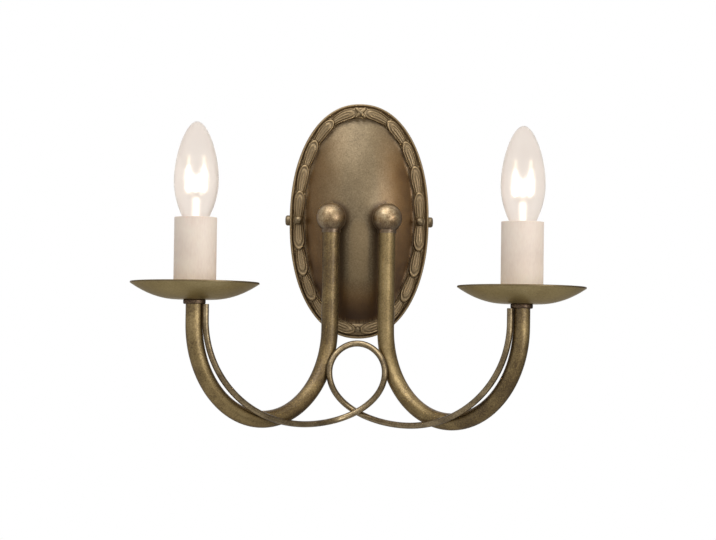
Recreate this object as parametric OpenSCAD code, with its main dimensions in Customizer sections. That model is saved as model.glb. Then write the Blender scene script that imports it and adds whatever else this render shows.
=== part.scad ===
// Two-light wall lamp: a cast oval wall plate with a leaf border carries two bent tube arms,
// each with a drip pan, a candle tube and a screw-in candle bulb, and one scrolled rod joins them.
// Millimetres. The origin is the middle of the wall bracket's back, on the wall.
// X runs to the right, Z runs up, and the lamp stands out from the wall towards -Y.
// Depth, below, is the distance in front of the wall.

/* [Wall plate] */
// Width of the oval plate
plate_w = 113.5; // [106:0.5:130]
// Height of the oval plate
plate_h = 191.5; // [165:0.5:215]
// Fullness of the oval: 2 is an ellipse, and more fills its shoulders out
plate_fullness = 2.16; // [2:0.02:2.4]
// Thickness of the cast shell
plate_t = 2.2; // [1.6:0.1:2.6]
// Depth of the outer lip
lip_d = 9.5; // [9.3:0.1:12]
// Width of the outer lip
lip_w = 1.8; // [1.2:0.1:2.4]
// Width of the leaf border
border_w = 9.4; // [8:0.1:11]
// Height of the leaves above the groove beside them
leaf_rise = 4; // [3.5:0.1:5]
// Depth of the dome at its middle
dome_d = 27; // [25:0.5:34]
// Leaves in a quarter of the border
quarter_leaves = 5; // [3:1:7]
// Diameter of the round bead at each side of the border
bead_dia = 7; // [5:0.1:9]

/* [Wall bracket] */
// Width of the steel strap
strap_w = 20; // [19:1:28]
// Thickness of the strap
strap_t = 1.5; // [1:0.1:2]
// Height of the strap's turned-out ears
ear_h = 7.8; // [7.4:0.1:8]
// Distance between the middles of the two slots
slot_pitch = 60; // [56:1:70]
// Width of a slot
slot_w = 5; // [4:0.1:6]
// End-to-end length of a slot
slot_l = 12; // [9:0.5:14]
// Radius of a side screw's shank
side_screw_r = 1.95; // [1.4:0.05:2.05]
// Length of a side screw's shank
side_screw_l = 11; // [8:0.5:11.5]
// Radius of a side screw's head
side_head_r = 4.2; // [3:0.05:4.3]
// Thickness of a side screw's head
side_head_h = 3.5; // [2:0.1:5]
// Width of the terminal block
block_w = 24; // [23:0.5:26]
// Height of the terminal block
block_h = 16; // [14:0.5:20]
// Depth of the terminal block
block_d = 12; // [10:0.5:14]

/* [Arms] */
// Distance between the middles of the two balls
ball_pitch = 45.2; // [43:0.2:54]
// Diameter of a ball
ball_dia = 24; // [21:0.5:26]
// Gap between a ball and the flat on the plate behind it
ball_gap = 1.4; // [1:0.1:6]
// Wall of the short mouth under a ball, round the arm
ball_mouth_t = 0.7; // [0.5:0.1:1.2]
// Height of the balls' middles above the plate's middle
ball_z = 1; // [-4:0.5:4]
// Outer diameter of an arm tube
arm_dia = 13.6; // [12.8:0.1:15]
// Wall of an arm tube
arm_t = 1; // [0.8:0.1:1.4]
// Radius of the arm's bend, at the middle of the tube
bend_r = 74; // [62:0.5:85]
// Turn of the arm's plane out from the wall, in degrees
arm_turn = 45; // [35:1:50]
// Drop from the ball's middle to the start of the bend
drop_l = 89.5; // [75:0.5:105]
// Rise from the end of the bend to the arm's upper end
rise_l = 14.9; // [12.5:0.1:30]
// Radius of the threaded nipples
nipple_r = 4.95; // [4.6:0.05:5]

/* [Scrolled rod] */
// Diameter of the rod
rod_dia = 5; // [4:0.1:6]
// Distance from the middle of the arm's tube to the rod's end, along the arm's plane
rod_inset = 3.5; // [3:0.1:6]
// Half the width of the rod's loop
loop_half_w = 22.3; // [20:0.1:23.5]
// Height of the loop, from the rod's lowest middle to its highest
loop_h = 65.5; // [58:0.5:72]
// Distance of the rod's lowest point from the lamp's middle
low_x = 42; // [36:0.5:50]
// Drop of the rod's lowest middle below the arm's lowest middle
low_drop = 3.5; // [2:0.1:6]

/* [Candles] */
// Diameter of the collar under a pan
collar_dia = 17.6; // [16.5:0.1:20]
// Height of the collar under a pan
collar_h = 3.7; // [2.5:0.1:6]
// Diameter of a drip pan
pan_dia = 101; // [80:0.5:120]
// Diameter of the pan's flat floor
pan_floor_dia = 36; // [35:0.5:48]
// Sheet thickness of a pan
pan_t = 1.2; // [0.8:0.1:1.6]
// Rise of the pan's rim above its floor
pan_rise = 12.4; // [8:0.1:18]
// Outer diameter of a candle tube
candle_dia = 33.3; // [32:0.1:34.5]
// Wall of a candle tube
candle_t = 0.9; // [0.7:0.1:1.2]
// Height of a candle tube
candle_h = 62.7; // [60:0.5:72]
// Width of a glass bulb at its widest
bulb_dia = 35; // [34:0.5:37]
// Height of the glass above its widest point
bulb_upper_h = 46.2; // [40:0.5:55]
// Height of the glass below its widest point
bulb_lower_h = 36; // [33:0.5:39]
// Thickness of the glass
glass_t = 0.7; // [0.5:0.1:1]
// Outer radius of the bulb cap's thread
cap_r = 6.9; // [6.7:0.05:7]

/* [Hidden] */
$fn = 48;

// Clearances
eps = 0.01;
fit_gap = 0.05;
slip_gap = 0.3;
cut = 60;

// Wall plate
plate_a = plate_w / 2;
plate_b = plate_h / 2;
lip_round = 0.9;
groove_drop = 1;
groove_d = lip_d - groove_drop;
groove_w = 0.8;
band_start = lip_w + groove_w;
field_start = band_start + border_w + groove_w;
field_a = plate_a - field_start;
field_b = plate_b - field_start;
leaf_steps = 6;
leaf_root = 0.5;
leaf_start = 3;
quarter_steps = leaf_steps * quarter_leaves;
band_steps = 5;
dome_outer_steps = [0.2, 0.38, 0.55, 0.7, 0.83, 0.93, 1];
dome_inner_steps = [0.25, 0.5, 0.7, 0.86, 1];
bead_inset = band_start + border_w / 2;
bead_d = groove_d + leaf_rise * 0.9;
end_bead_dia = 5;
ribbon_r = 1.7;
ribbon_l = 6;
ribbon_angle = 47;
side_hole_r = side_screw_r + 0.2;

// Wall bracket
side_screw_d = 4.5;
ear_x = plate_a - 5.75;
ear_in_x = ear_x - strap_t;
ear_w = 14;
earth_inset = 8.5;
earth_x = ear_in_x - earth_inset;
earth_z = strap_w / 2 - 4.2;
earth_r = 2;
earth_head_r = 3.5;
earth_head_h = 2;
earth_shank_out = 1.2;
way_pitch = 8;
ways = [-1, 0, 1];
clamp_r = 2.05;
clamp_bore_r = 1.3;
clamp_d = strap_t + 4.5;
clamp_overhang = 0.8;
way_screw_y = block_h / 4;
way_screw_r = 1.2;
way_screw_l = 5;
fixing_r = 1.2;
fixing_head_r = 1.9;
fixing_head_h = 1.2;

// Balls and what clamps them
ball_x = ball_pitch / 2;
ball_r = ball_dia / 2;
nipple_hole_r = nipple_r + fit_gap;
nipple_bore_r = 3.5;
socket_depth = ball_r - 5.6;
arm_start_z = ball_z - (ball_r - socket_depth);
seat_r = 7;
boss_r = 8.5;
boss_front_d = dome_depth((ball_x - boss_r) / field_a, groove_d, dome_d) + 0.4;
boss_back_d = dome_depth((ball_x + boss_r) / field_a, groove_d - plate_t, dome_d - plate_t) - 0.3;
ball_d = boss_front_d + ball_gap + ball_r;
washer_r = 8;
washer_t = 1;
nut_h = 4;
nut_across = 14;
nut_r = nut_across / 2 / cos(30);
ball_nipple_back_d = boss_back_d - washer_t - nut_h - 1.5;
ball_nipple_front_d = ball_d - 6;

// Arms
arm_r = arm_dia / 2;
arm_bore_r = arm_r - arm_t;
bend_z = ball_z - drop_l;
arm_top_z = bend_z + rise_l;
bush_l = 12;
candle_x = ball_x + 2 * bend_r * cos(arm_turn);
candle_d = ball_d + 2 * bend_r * sin(arm_turn);
flex_r = 2.2;
flex_loop_rise = 15;
flex_loop_return = 19;
flex_bend_steps = 14;
flex_curve_steps = 6;

// Scrolled rod
rod_r = rod_dia / 2;
rod_off = arm_r + rod_r + fit_gap;
rod_end_x = candle_x - rod_off * sin(arm_turn) - rod_inset * cos(arm_turn);
rod_low_z = bend_z - bend_r - low_drop;
rod_straight_l = 11.4;
rod_knee_z = arm_top_z - rod_straight_l;
loop_side_h = 42.3;
loop_side_z = rod_low_z + loop_side_h;
loop_top_z = rod_low_z + loop_h;
crossing_lift = rod_r + fit_gap;
rod_sides = 10;
outer_fullness = [0.54, 0.58];
inner_fullness = [0.455, 0.63];
loop_fullness = [0.53, 0.55];

// Pans and candles
collar_r = collar_dia / 2;
pan_z = arm_top_z + collar_h;
floor_z = pan_z + pan_t;
pan_r = pan_dia / 2;
pan_floor_r = pan_floor_dia / 2;
pan_start = 0.25;
pan_steps = 12;
candle_r = candle_dia / 2;
candle_bore_r = candle_r - candle_t;
candle_top_z = floor_z + candle_h;

// Bulbs
bulb_r = bulb_dia / 2;
bulb_wide_h = 28.6;
bulb_wide_z = candle_top_z + bulb_wide_h;
bulb_tip_z = bulb_wide_z + bulb_upper_h;
neck_z = bulb_wide_z - bulb_lower_h;
neck_r = cap_r + 0.3;
outline_steps = 10;
cap_t = 0.4;
skirt_r = neck_r + 0.4;
skirt_top_z = neck_z + 1.4;
thread_pitch = 2.82;
thread_turns = 5;
thread_depth = 0.55;
thread_top_z = skirt_top_z - 5.4;
cap_bottom_z = thread_top_z - thread_turns * thread_pitch - 0.5;
insulator_top_z = cap_bottom_z - slip_gap;
insulator_h = 2.1;
contact_top_z = insulator_top_z - insulator_h;
contact_h = 0.8;
contact_bottom_z = contact_top_z - contact_h;
stem_r = 2.6;
stem_top_z = candle_top_z + 15;
filament_r = 0.45;
filament_x = 6;
filament_top_z = bulb_wide_z + 19.4;
filament_peak_z = bulb_wide_z + 3.4;
filament_low_z = bulb_wide_z - 7.4;
lead_r = 0.35;
lead_foot_x = 1;
lead_knee_z = bulb_wide_z - 9;
wire_sides = 8;

// Lampholders
holder_base_h = 12;
holder_r = 13.5;
rib_count = 8;
rib_w = 2;
rib_r = candle_bore_r - slip_gap;
rib_h = 10;
holder_foot_z = floor_z + holder_base_h;
holder_top_z = skirt_top_z - 2;
sleeve_bore_r = cap_r + 0.08;
sleeve_t = 0.5;
sleeve_r = sleeve_bore_r + sleeve_t;
sleeve_bed_r = sleeve_r + fit_gap;
mouth_r = skirt_r + 0.7;
centre_contact_h = 1.5;
well_z = contact_bottom_z - slip_gap - centre_contact_h;
holder_floor_t = 5;
cavity_top_z = well_z - holder_floor_t;
cavity_r = 11;
centre_contact_r = 4;
rivet_r = 1.2;
rivet_head_r = 2.5;
rivet_head_h = 1.2;
terminal_size = [4, 5, 6];
terminal_x = 7.5;

// Colours as the lamp shows them
bronze = [0.50, 0.42, 0.27];
dark_bronze = [0.36, 0.29, 0.18];
pan_bronze = [0.52, 0.45, 0.28];
ivory = [0.90, 0.83, 0.75];
steel = [0.72, 0.73, 0.74];
brass = [0.80, 0.66, 0.36];
white_plastic = [0.93, 0.92, 0.89];
clear_glass = [0.92, 0.90, 0.86, 0.45];

// Curves and skins

function unit(v) = v / norm(v);
function square_to(v, t) = unit(v - (v * t) * t);

// A point at share t of a curve with four control points
function bezier(c, t) =
    pow(1 - t, 3) * c[0] + 3 * pow(1 - t, 2) * t * c[1] + 3 * (1 - t) * t * t * c[2] + t * t * t * c[3];
function curve(c, steps) = [for (i = [0 : steps - 1]) bezier(c, i / steps)];
function reverse(list) = [for (i = [len(list) - 1 : -1 : 0]) list[i]];

// A quarter turn in a plane that leaves a along the second direction and reaches b along the first
function quarter_up(a, b, full) =
    [a, [a[0], a[1] + full[0] * (b[1] - a[1])], [b[0] - full[1] * (b[0] - a[0]), b[1]], b];
function quarter_out(a, b, full) =
    [a, [a[0] + full[0] * (b[0] - a[0]), a[1]], [b[0], b[1] - full[1] * (b[1] - a[1])], b];

// Rings of a tube along a path, each ring square to the path and not twisted against the last
function tangents(p) = [for (i = [0 : len(p) - 1]) unit(p[min(i + 1, len(p) - 1)] - p[max(i - 1, 0)])];
function sides_of(t) =
    [for (i = 0, n = square_to([0.31, 0.17, 0.93], t[0]);
          i < len(t);
          i = i + 1, n = i < len(t) ? square_to(n, t[i]) : n) n];
function tube_rings(p, r, sides) =
    let (t = tangents(p), n = sides_of(t))
    [for (i = [0 : len(p) - 1])
        [for (k = [0 : sides - 1])
            let (a = 360 * k / sides)
            p[i] + r * (cos(a) * n[i] + sin(a) * cross(t[i], n[i]))]];

// A closed skin over a stack of rings with the same number of points, closed by a point at each end
module skin(first, rings, last) {
    n = len(rings[0]);
    m = len(rings);
    end = m * n + 1;
    points = concat([first], [for (ring = rings) for (p = ring) p], [last]);
    near = [for (k = [0 : n - 1]) [0, 1 + k, 1 + (k + 1) % n]];
    far = [for (k = [0 : n - 1]) [end, end - n + (k + 1) % n, end - n + k]];
    walls = [for (i = [0 : m - 2]) for (k = [0 : n - 1]) for (half = [0, 1])
        let (a = 1 + i * n + k, b = 1 + i * n + (k + 1) % n)
        half == 0 ? [a, a + n, b + n] : [a, b + n, b]];
    polyhedron(points = points, faces = concat(near, walls, far), convexity = 6);
}

module swept_tube(p, r, sides) {
    skin(p[0], tube_rings(p, r, sides), p[len(p) - 1]);
}

module ring(r_out, r_in, h) {
    difference() {
        cylinder(r = r_out, h = h);
        translate([0, 0, -eps]) cylinder(r = r_in, h = h + 2 * eps);
    }
}

// Places what stands on the wall: its own z is depth and its own y is height
module from_wall(x = 0, z = 0, d = 0) {
    translate([x, -d, z]) rotate([90, 0, 0]) children();
}

module at_ball(side) {
    translate([side * ball_x, -ball_d, ball_z]) children();
}

module at_candle(side, z = 0) {
    translate([side * candle_x, -candle_d, z]) children();
}

// Wall plate and what holds it

// Point of an oval of two half widths at an angle
function filled(share) = sign(share) * pow(abs(share), 2 / plate_fullness);
function oval_point(a, b, turn) = [a * filled(cos(turn)), b * filled(sin(turn))];

// Length of the border's middle line up to an angle, counted from the side
function mid_point(turn) = oval_point(plate_a - bead_inset, plate_b - bead_inset, turn);
quarter_table = [for (a = 0, s = 0; a <= 90; a = a + 2, s = s + norm(mid_point(a) - mid_point(a - 2))) [s, a]];
quarter_length = quarter_table[len(quarter_table) - 1][0];
leaf_l = (quarter_length - leaf_start) / quarter_leaves;

// Angle on the oval of a step of the quarter, whose first leaf starts beside the bead
function oval_angle(step) =
    lookup(step == 0 ? 0 : leaf_start + leaf_l * step / leaf_steps, quarter_table);

// Height of the leaf at a step of the quarter: each leaf swells towards its rounded tip
function leaf_height(step) =
    leaf_root + (1 - leaf_root) * sin(180 * pow((step % leaf_steps) / leaf_steps, 1.5));

// A ring of the plate, taken clockwise as seen from the front so that the skin faces outwards
function oval_ring(a, b, d, swell = 0) =
    [for (k = [0 : 4 * quarter_steps - 1])
        let (q = floor(k / quarter_steps),
             step = q % 2 == 0 ? k % quarter_steps : quarter_steps - k % quarter_steps,
             turn = q % 2 == 0 ? 90 * q + oval_angle(step) : 90 * (q + 1) - oval_angle(step),
             p = oval_point(a, b, turn))
        [p[0], -(d + swell * leaf_height(step)), -p[1]]];

// The dome is flat at its middle and falls off with the square of the share of the field
function dome_depth(share, edge, top) = edge + (top - edge) * (1 - share * share);

module plate_shell() {
    dome_outer = [for (s = dome_outer_steps)
        oval_ring(field_a * s, field_b * s, dome_depth(s, groove_d, dome_d))];
    band = [for (i = [band_steps : -1 : 0])
        let (turn = 180 * i / band_steps, inset = band_start + border_w * (1 - cos(turn)) / 2)
        oval_ring(plate_a - inset, plate_b - inset, groove_d, leaf_rise * sin(turn))];
    lip = [for (p = [[lip_w, lip_d - 0.2], [lip_round, lip_d], [0, lip_d - lip_round], [0, 0]])
        oval_ring(plate_a - p[0], plate_b - p[0], p[1])];
    back = [for (p = [[plate_t, 0], [plate_t, lip_d - plate_t], [bead_inset, groove_d + leaf_rise * leaf_root - 1.9]])
        oval_ring(plate_a - p[0], plate_b - p[0], p[1])];
    dome_inner = [for (i = [len(dome_inner_steps) - 1 : -1 : 0])
        let (s = dome_inner_steps[i])
        oval_ring(field_a * s, field_b * s, dome_depth(s, groove_d - plate_t, dome_d - plate_t))];
    skin([0, -dome_d, 0], concat(dome_outer, band, lip, back, dome_inner), [0, -(dome_d - plate_t), 0]);
}

module backplate() {
    color(dark_bronze)
    difference() {
        union() {
            plate_shell();
            for (side = [-1, 1]) {
                from_wall(side * ball_x, ball_z, boss_back_d)
                    cylinder(r = boss_r, h = boss_front_d - boss_back_d);
                from_wall(side * (plate_a - bead_inset), 0, bead_d) sphere(d = bead_dia);
                from_wall(0, side * (plate_b - bead_inset), bead_d) sphere(d = end_bead_dia);
                from_wall(0, plate_b - bead_inset, bead_d + 0.6)
                    rotate([0, 90, side * ribbon_angle])
                        translate([0, 0, -ribbon_l]) cylinder(r = ribbon_r, h = 2 * ribbon_l);
            }
        }
        for (side = [-1, 1]) {
            from_wall(side * ball_x, ball_z, 0) cylinder(r = nipple_hole_r, h = cut);
            translate([side * (plate_a - bead_inset), -side_screw_d, 0])
                rotate([0, side * 90, 0]) cylinder(r = side_hole_r, h = cut);
        }
    }
}

module wall_bracket() {
    color(steel)
    difference() {
        union() {
            from_wall() translate([-ear_x, -strap_w / 2, 0]) cube([2 * ear_x, strap_w, strap_t]);
            for (side = [-1, 1])
                from_wall(side * (ear_x - strap_t / 2))
                    translate([-strap_t / 2, -ear_w / 2, 0]) cube([strap_t, ear_w, ear_h]);
        }
        for (side = [-1, 1]) {
            from_wall(side * slot_pitch / 2) translate([0, 0, -1]) slot();
            translate([side * (ear_in_x - 1), -side_screw_d, 0])
                rotate([0, side * 90, 0]) cylinder(r = side_screw_r + fit_gap, h = strap_t + 2);
            from_wall(side * way_pitch / 2) translate([0, 0, -1])
                cylinder(r = fixing_r + fit_gap, h = strap_t + 2);
        }
        from_wall(earth_x, earth_z) translate([0, 0, -1]) cylinder(r = earth_r + fit_gap, h = strap_t + 2);
    }
}

module slot() {
    straight = slot_l - slot_w;
    translate([-straight / 2, -slot_w / 2, 0]) cube([straight, slot_w, strap_t + 2]);
    for (end = [-1, 1]) translate([end * straight / 2, 0, 0]) cylinder(d = slot_w, h = strap_t + 2);
}

module earth_screw() {
    color(brass)
    from_wall(earth_x, earth_z)
    difference() {
        union() {
            translate([0, 0, strap_t - earth_shank_out]) cylinder(r = earth_r, h = earth_shank_out + eps);
            translate([0, 0, strap_t]) cylinder(r = earth_head_r, h = earth_head_h);
        }
        translate([-earth_head_r - 1, -0.5, strap_t + earth_head_h / 2])
            cube([2 * earth_head_r + 2, 1, earth_head_h]);
    }
}

module side_screw(side) {
    head_profile = [[0, 0], [side_head_r, 0], [side_head_r, side_head_h * 0.6],
                    [side_head_r * 0.8, side_head_h * 0.9], [side_head_r * 0.4, side_head_h], [0, side_head_h]];
    color(bronze)
    translate([side * (plate_a + 2 * fit_gap), -side_screw_d, 0]) rotate([0, side * 90, 0])
    difference() {
        union() {
            rotate_extrude() polygon(head_profile);
            translate([0, 0, -side_screw_l]) cylinder(r = side_screw_r, h = side_screw_l + eps);
        }
        translate([-side_head_r - 1, -0.5, side_head_h * 0.7]) cube([2 * side_head_r + 2, 1, side_head_h]);
    }
}

// Terminal block on the strap, with three through clamps

module terminal_block() {
    color(white_plastic)
    difference() {
        from_wall(0, 0, strap_t) translate([-block_w / 2, -block_h / 2, 0]) cube([block_w, block_h, block_d]);
        for (way = ways) {
            translate([way * way_pitch, -clamp_d, -block_h / 2 - 1])
                cylinder(r = clamp_r + fit_gap, h = block_h + 2);
            for (y = [-way_screw_y, way_screw_y])
                from_wall(way * way_pitch, y, clamp_d) cylinder(r = way_screw_r + 0.3, h = cut);
        }
        for (side = [-1, 1]) from_wall(side * way_pitch / 2) cylinder(r = fixing_r + fit_gap, h = cut);
    }
}

module terminal_clamps() {
    clamp_l = block_h - 2 * clamp_overhang;
    color(brass)
    for (way = ways)
        difference() {
            translate([way * way_pitch, -clamp_d, -clamp_l / 2]) cylinder(r = clamp_r, h = clamp_l);
            translate([way * way_pitch, -clamp_d, -clamp_l / 2 - 1]) cylinder(r = clamp_bore_r, h = clamp_l + 2);
            for (y = [-way_screw_y, way_screw_y])
                from_wall(way * way_pitch, y, clamp_d) cylinder(r = way_screw_r + fit_gap, h = clamp_r + 1);
        }
}

module terminal_screws() {
    color(steel)
    for (way = ways) for (y = [-way_screw_y, way_screw_y])
        from_wall(way * way_pitch, y, clamp_d + 0.4) cylinder(r = way_screw_r, h = way_screw_l);
}

module block_fixings() {
    color(steel)
    for (side = [-1, 1])
        from_wall(side * way_pitch / 2) {
            translate([0, 0, 0.3]) cylinder(r = fixing_r, h = strap_t + block_d);
            translate([0, 0, strap_t + block_d]) cylinder(r = fixing_head_r, h = fixing_head_h);
        }
}

// Balls, seats, nipples, washers and nuts

module ball(side) {
    color(bronze)
    at_ball(side)
    difference() {
        union() {
            sphere(r = ball_r);
            translate([0, 0, -ball_r]) cylinder(r = arm_r + fit_gap + ball_mouth_t, h = ball_r / 2);
        }
        translate([0, 0, -ball_r - 1]) cylinder(r = arm_r + fit_gap, h = socket_depth + 1);
        translate([0, 0, -ball_r - 1]) cylinder(r = nipple_hole_r, h = ball_r + 1);
        rotate([-90, 0, 0]) cylinder(r = nipple_hole_r, h = ball_r + 1);
    }
}

module ball_seat(side) {
    color(dark_bronze)
    from_wall(side * ball_x, ball_z)
    difference() {
        translate([0, 0, boss_front_d]) cylinder(r = seat_r, h = ball_d - ball_r / 2 - boss_front_d);
        translate([0, 0, ball_d]) sphere(r = ball_r + fit_gap);
        cylinder(r = nipple_hole_r, h = cut);
    }
}

module ball_nipple(side) {
    color(brass)
    from_wall(side * ball_x, ball_z, ball_nipple_back_d)
        ring(nipple_r, nipple_bore_r, ball_nipple_front_d - ball_nipple_back_d);
}

module lock_washer(side) {
    color(steel)
    from_wall(side * ball_x, ball_z, boss_back_d - washer_t) ring(washer_r, nipple_hole_r, washer_t);
}

module ball_nut(side) {
    color(brass)
    from_wall(side * ball_x, ball_z, boss_back_d - washer_t - nut_h)
    difference() {
        cylinder(r = nut_r, h = nut_h, $fn = 6);
        translate([0, 0, -1]) cylinder(r = nipple_hole_r, h = nut_h + 2);
    }
}

// Arms: straight down from the ball, half a turn in a plane set at an angle to the wall, then up

module in_arm_plane(side) {
    translate([side * ball_x, -ball_d, bend_z])
        rotate([0, 0, side > 0 ? -arm_turn : arm_turn - 180]) children();
}

module arm(side) {
    color(bronze)
    in_arm_plane(side) {
        ring(arm_r, arm_bore_r, arm_start_z - bend_z);
        translate([bend_r, 0, 0]) rotate([90, 0, 0]) rotate([0, 0, 180])
            rotate_extrude(angle = 180) translate([bend_r, 0])
                difference() {
                    circle(r = arm_r);
                    circle(r = arm_bore_r);
                }
        translate([2 * bend_r, 0, 0]) {
            ring(arm_r, arm_bore_r, rise_l - bush_l);
            translate([0, 0, rise_l - bush_l]) ring(arm_r, nipple_hole_r, bush_l);
        }
    }
}

// A point of the arm's middle line at a distance out along its plane
function arm_point(side, out, z) =
    [side * (ball_x + out * cos(arm_turn)), -(ball_d + out * sin(arm_turn)), z];

// The flex leaves the terminal block upwards, dips to the nipple, and follows the arm to its lampholder
function flex_path(side) =
    let (x = side * ball_x, start_x = side * way_pitch, low_d = strap_t + flex_r + 0.7, low_z = ball_z + 8)
    concat(
        curve([[start_x, -clamp_d, block_h / 2 + slip_gap], [start_x, -clamp_d, low_z + flex_loop_rise],
               [x, -low_d, low_z + flex_loop_return], [x, -low_d, low_z]], flex_curve_steps + 2),
        curve([[x, -low_d, low_z], [x, -low_d, ball_z + 3.6],
               [x, -low_d - 3.4, ball_z], [x, -low_d - 7.6, ball_z]], flex_curve_steps),
        curve([[x, -ball_d + 8, ball_z], [x, -ball_d + 3, ball_z],
               [x, -ball_d, ball_z - 3], [x, -ball_d, ball_z - 8]], flex_curve_steps),
        [for (i = [0 : flex_bend_steps])
            let (a = 180 * i / flex_bend_steps)
            arm_point(side, bend_r * (1 - cos(a)), bend_z - bend_r * sin(a))],
        [arm_point(side, 2 * bend_r, cavity_top_z - rivet_head_h - slip_gap)]);

module flex(side) {
    color([0.85, 0.85, 0.82])
    swept_tube(flex_path(side), flex_r, 8);
}

// Scrolled rod: it lies against the front of both arms, crosses itself and loops between them

// Depth of the rod: parallel to the arm's plane outside the loop, and rounded off inside it
function rod_depth(x) =
    let (slope = tan(arm_turn), w = loop_half_w, plane = ball_d - ball_x * slope + rod_off / cos(arm_turn))
    abs(x) > w ? plane + slope * abs(x) : plane + slope * (w / 2 + x * x / (2 * w));

// Half of the rod, from its end under a pan to the top of the loop on the other side of the middle
function rod_half(side) =
    let (lift = side < 0 ? crossing_lift : -crossing_lift,
         outer = quarter_up([rod_end_x, rod_knee_z], [low_x, rod_low_z], outer_fullness),
         inner = quarter_out([low_x, rod_low_z], [-loop_half_w, loop_side_z], inner_fullness),
         over = quarter_up([-loop_half_w, loop_side_z], [0, loop_top_z], loop_fullness))
    concat(
        [for (p = [[rod_end_x, arm_top_z]]) [side * p[0], -rod_depth(p[0]), p[1]]],
        [for (p = curve(outer, 15)) [side * p[0], -rod_depth(p[0]), p[1]]],
        [for (p = curve(inner, 14))
            let (near = abs(p[0]) < loop_half_w ? pow(cos(90 * p[0] / loop_half_w), 2) : 0)
            [side * p[0], -rod_depth(p[0]) - lift * near, p[1]]],
        [for (p = curve(over, 8)) [side * p[0], -rod_depth(p[0]), p[1]]]);

module scroll_rod() {
    top = [[0, -rod_depth(0), loop_top_z]];
    color(bronze)
    swept_tube(concat(rod_half(-1), top, reverse(rod_half(1))), rod_r, rod_sides);
}

// Collars, pans and candle tubes

module collar(side) {
    color(bronze)
    at_candle(side, arm_top_z) ring(collar_r, nipple_hole_r, collar_h);
}

module cup_nipple(side) {
    start_z = arm_top_z - bush_l + 2;
    color(brass)
    at_candle(side, start_z) ring(nipple_r, nipple_bore_r, holder_foot_z - 3 - start_z);
}

// Height of the pan's underside: flat out to the floor's edge, then a rise that steepens
function pan_height(r) =
    let (u = max(0, (r - pan_floor_r) / (pan_r - pan_floor_r)))
    pan_rise * (pan_start * u + u * u) / (1 + pan_start);

module drip_pan(side) {
    radii = concat([nipple_hole_r],
                   [for (i = [0 : pan_steps]) pan_floor_r + (pan_r - pan_floor_r) * i / pan_steps]);
    under = [for (r = radii) [r, pan_height(r)]];
    over = [for (p = reverse(under)) [p[0], p[1] + pan_t]];
    color(pan_bronze)
    at_candle(side, pan_z) rotate_extrude() polygon(concat(under, over));
}

module candle_tube(side) {
    color(ivory)
    at_candle(side, floor_z) ring(candle_r, candle_bore_r, candle_h);
}

// Lampholders

module holder_base(side) {
    color(white_plastic)
    at_candle(side, floor_z)
    difference() {
        union() {
            cylinder(r = holder_r, h = holder_base_h);
            for (i = [0 : rib_count - 1]) rotate([0, 0, 360 * i / rib_count])
                translate([holder_r - 1, -rib_w / 2, 0]) cube([rib_r - holder_r + 1, rib_w, rib_h]);
        }
        translate([0, 0, -1]) cylinder(r = nipple_hole_r, h = holder_base_h + 2);
    }
}

module holder_body(side) {
    color(white_plastic)
    at_candle(side)
    difference() {
        translate([0, 0, holder_foot_z]) cylinder(r = holder_r, h = holder_top_z - holder_foot_z);
        translate([0, 0, holder_foot_z - 1]) cylinder(r = cavity_r, h = cavity_top_z - holder_foot_z + 1);
        translate([0, 0, well_z]) cylinder(r = sleeve_bed_r, h = cut);
        translate([0, 0, thread_top_z]) cylinder(r = mouth_r, h = cut);
        translate([0, 0, cavity_top_z - 1]) cylinder(r = rivet_r + fit_gap, h = holder_floor_t + 2);
    }
}

module thread_sleeve(side) {
    color(brass)
    at_candle(side, well_z) ring(sleeve_r, sleeve_bore_r, thread_top_z - well_z);
}

module centre_contact(side) {
    color(brass)
    at_candle(side) {
        translate([0, 0, well_z]) cylinder(r = centre_contact_r, h = centre_contact_h);
        translate([0, 0, cavity_top_z - eps]) cylinder(r = rivet_r, h = holder_floor_t + 2 * eps);
        translate([0, 0, cavity_top_z - rivet_head_h]) cylinder(r = rivet_head_r, h = rivet_head_h);
    }
}

module holder_terminals(side) {
    color(brass)
    for (end = [-1, 1])
        at_candle(side, cavity_top_z - terminal_size[2])
            translate([end * terminal_x - terminal_size[0] / 2, -terminal_size[1] / 2, 0])
                difference() {
                    cube(terminal_size);
                    translate([terminal_size[0] / 2, terminal_size[1] / 2, -1]) cylinder(r = 1, h = 4.5);
                }
}

// Bulbs

// Outline of the glass, from its neck up to its tip, drawn in by an inset
function glass_outline(inset) =
    let (wide = [bulb_r - inset, bulb_wide_z],
         neck = [neck_r - inset, skirt_top_z],
         tip = [0, bulb_tip_z - inset],
         swell_h = bulb_wide_z - skirt_top_z,
         below = [neck, [neck_r * 1.46 - inset, skirt_top_z + swell_h * 0.17],
                  [bulb_r - inset, bulb_wide_z - swell_h * 0.464], wide],
         above = [wide, [bulb_r - inset, bulb_wide_z + bulb_upper_h * 0.44],
                  [bulb_r * 0.5 - inset, bulb_tip_z - inset], tip])
    concat([[neck_r - inset, neck_z]], curve(below, outline_steps), curve(above, outline_steps), [tip]);

module bulb_glass(side) {
    color(clear_glass)
    at_candle(side) rotate_extrude()
        polygon(concat(glass_outline(0), reverse(glass_outline(glass_t))));
}

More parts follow.
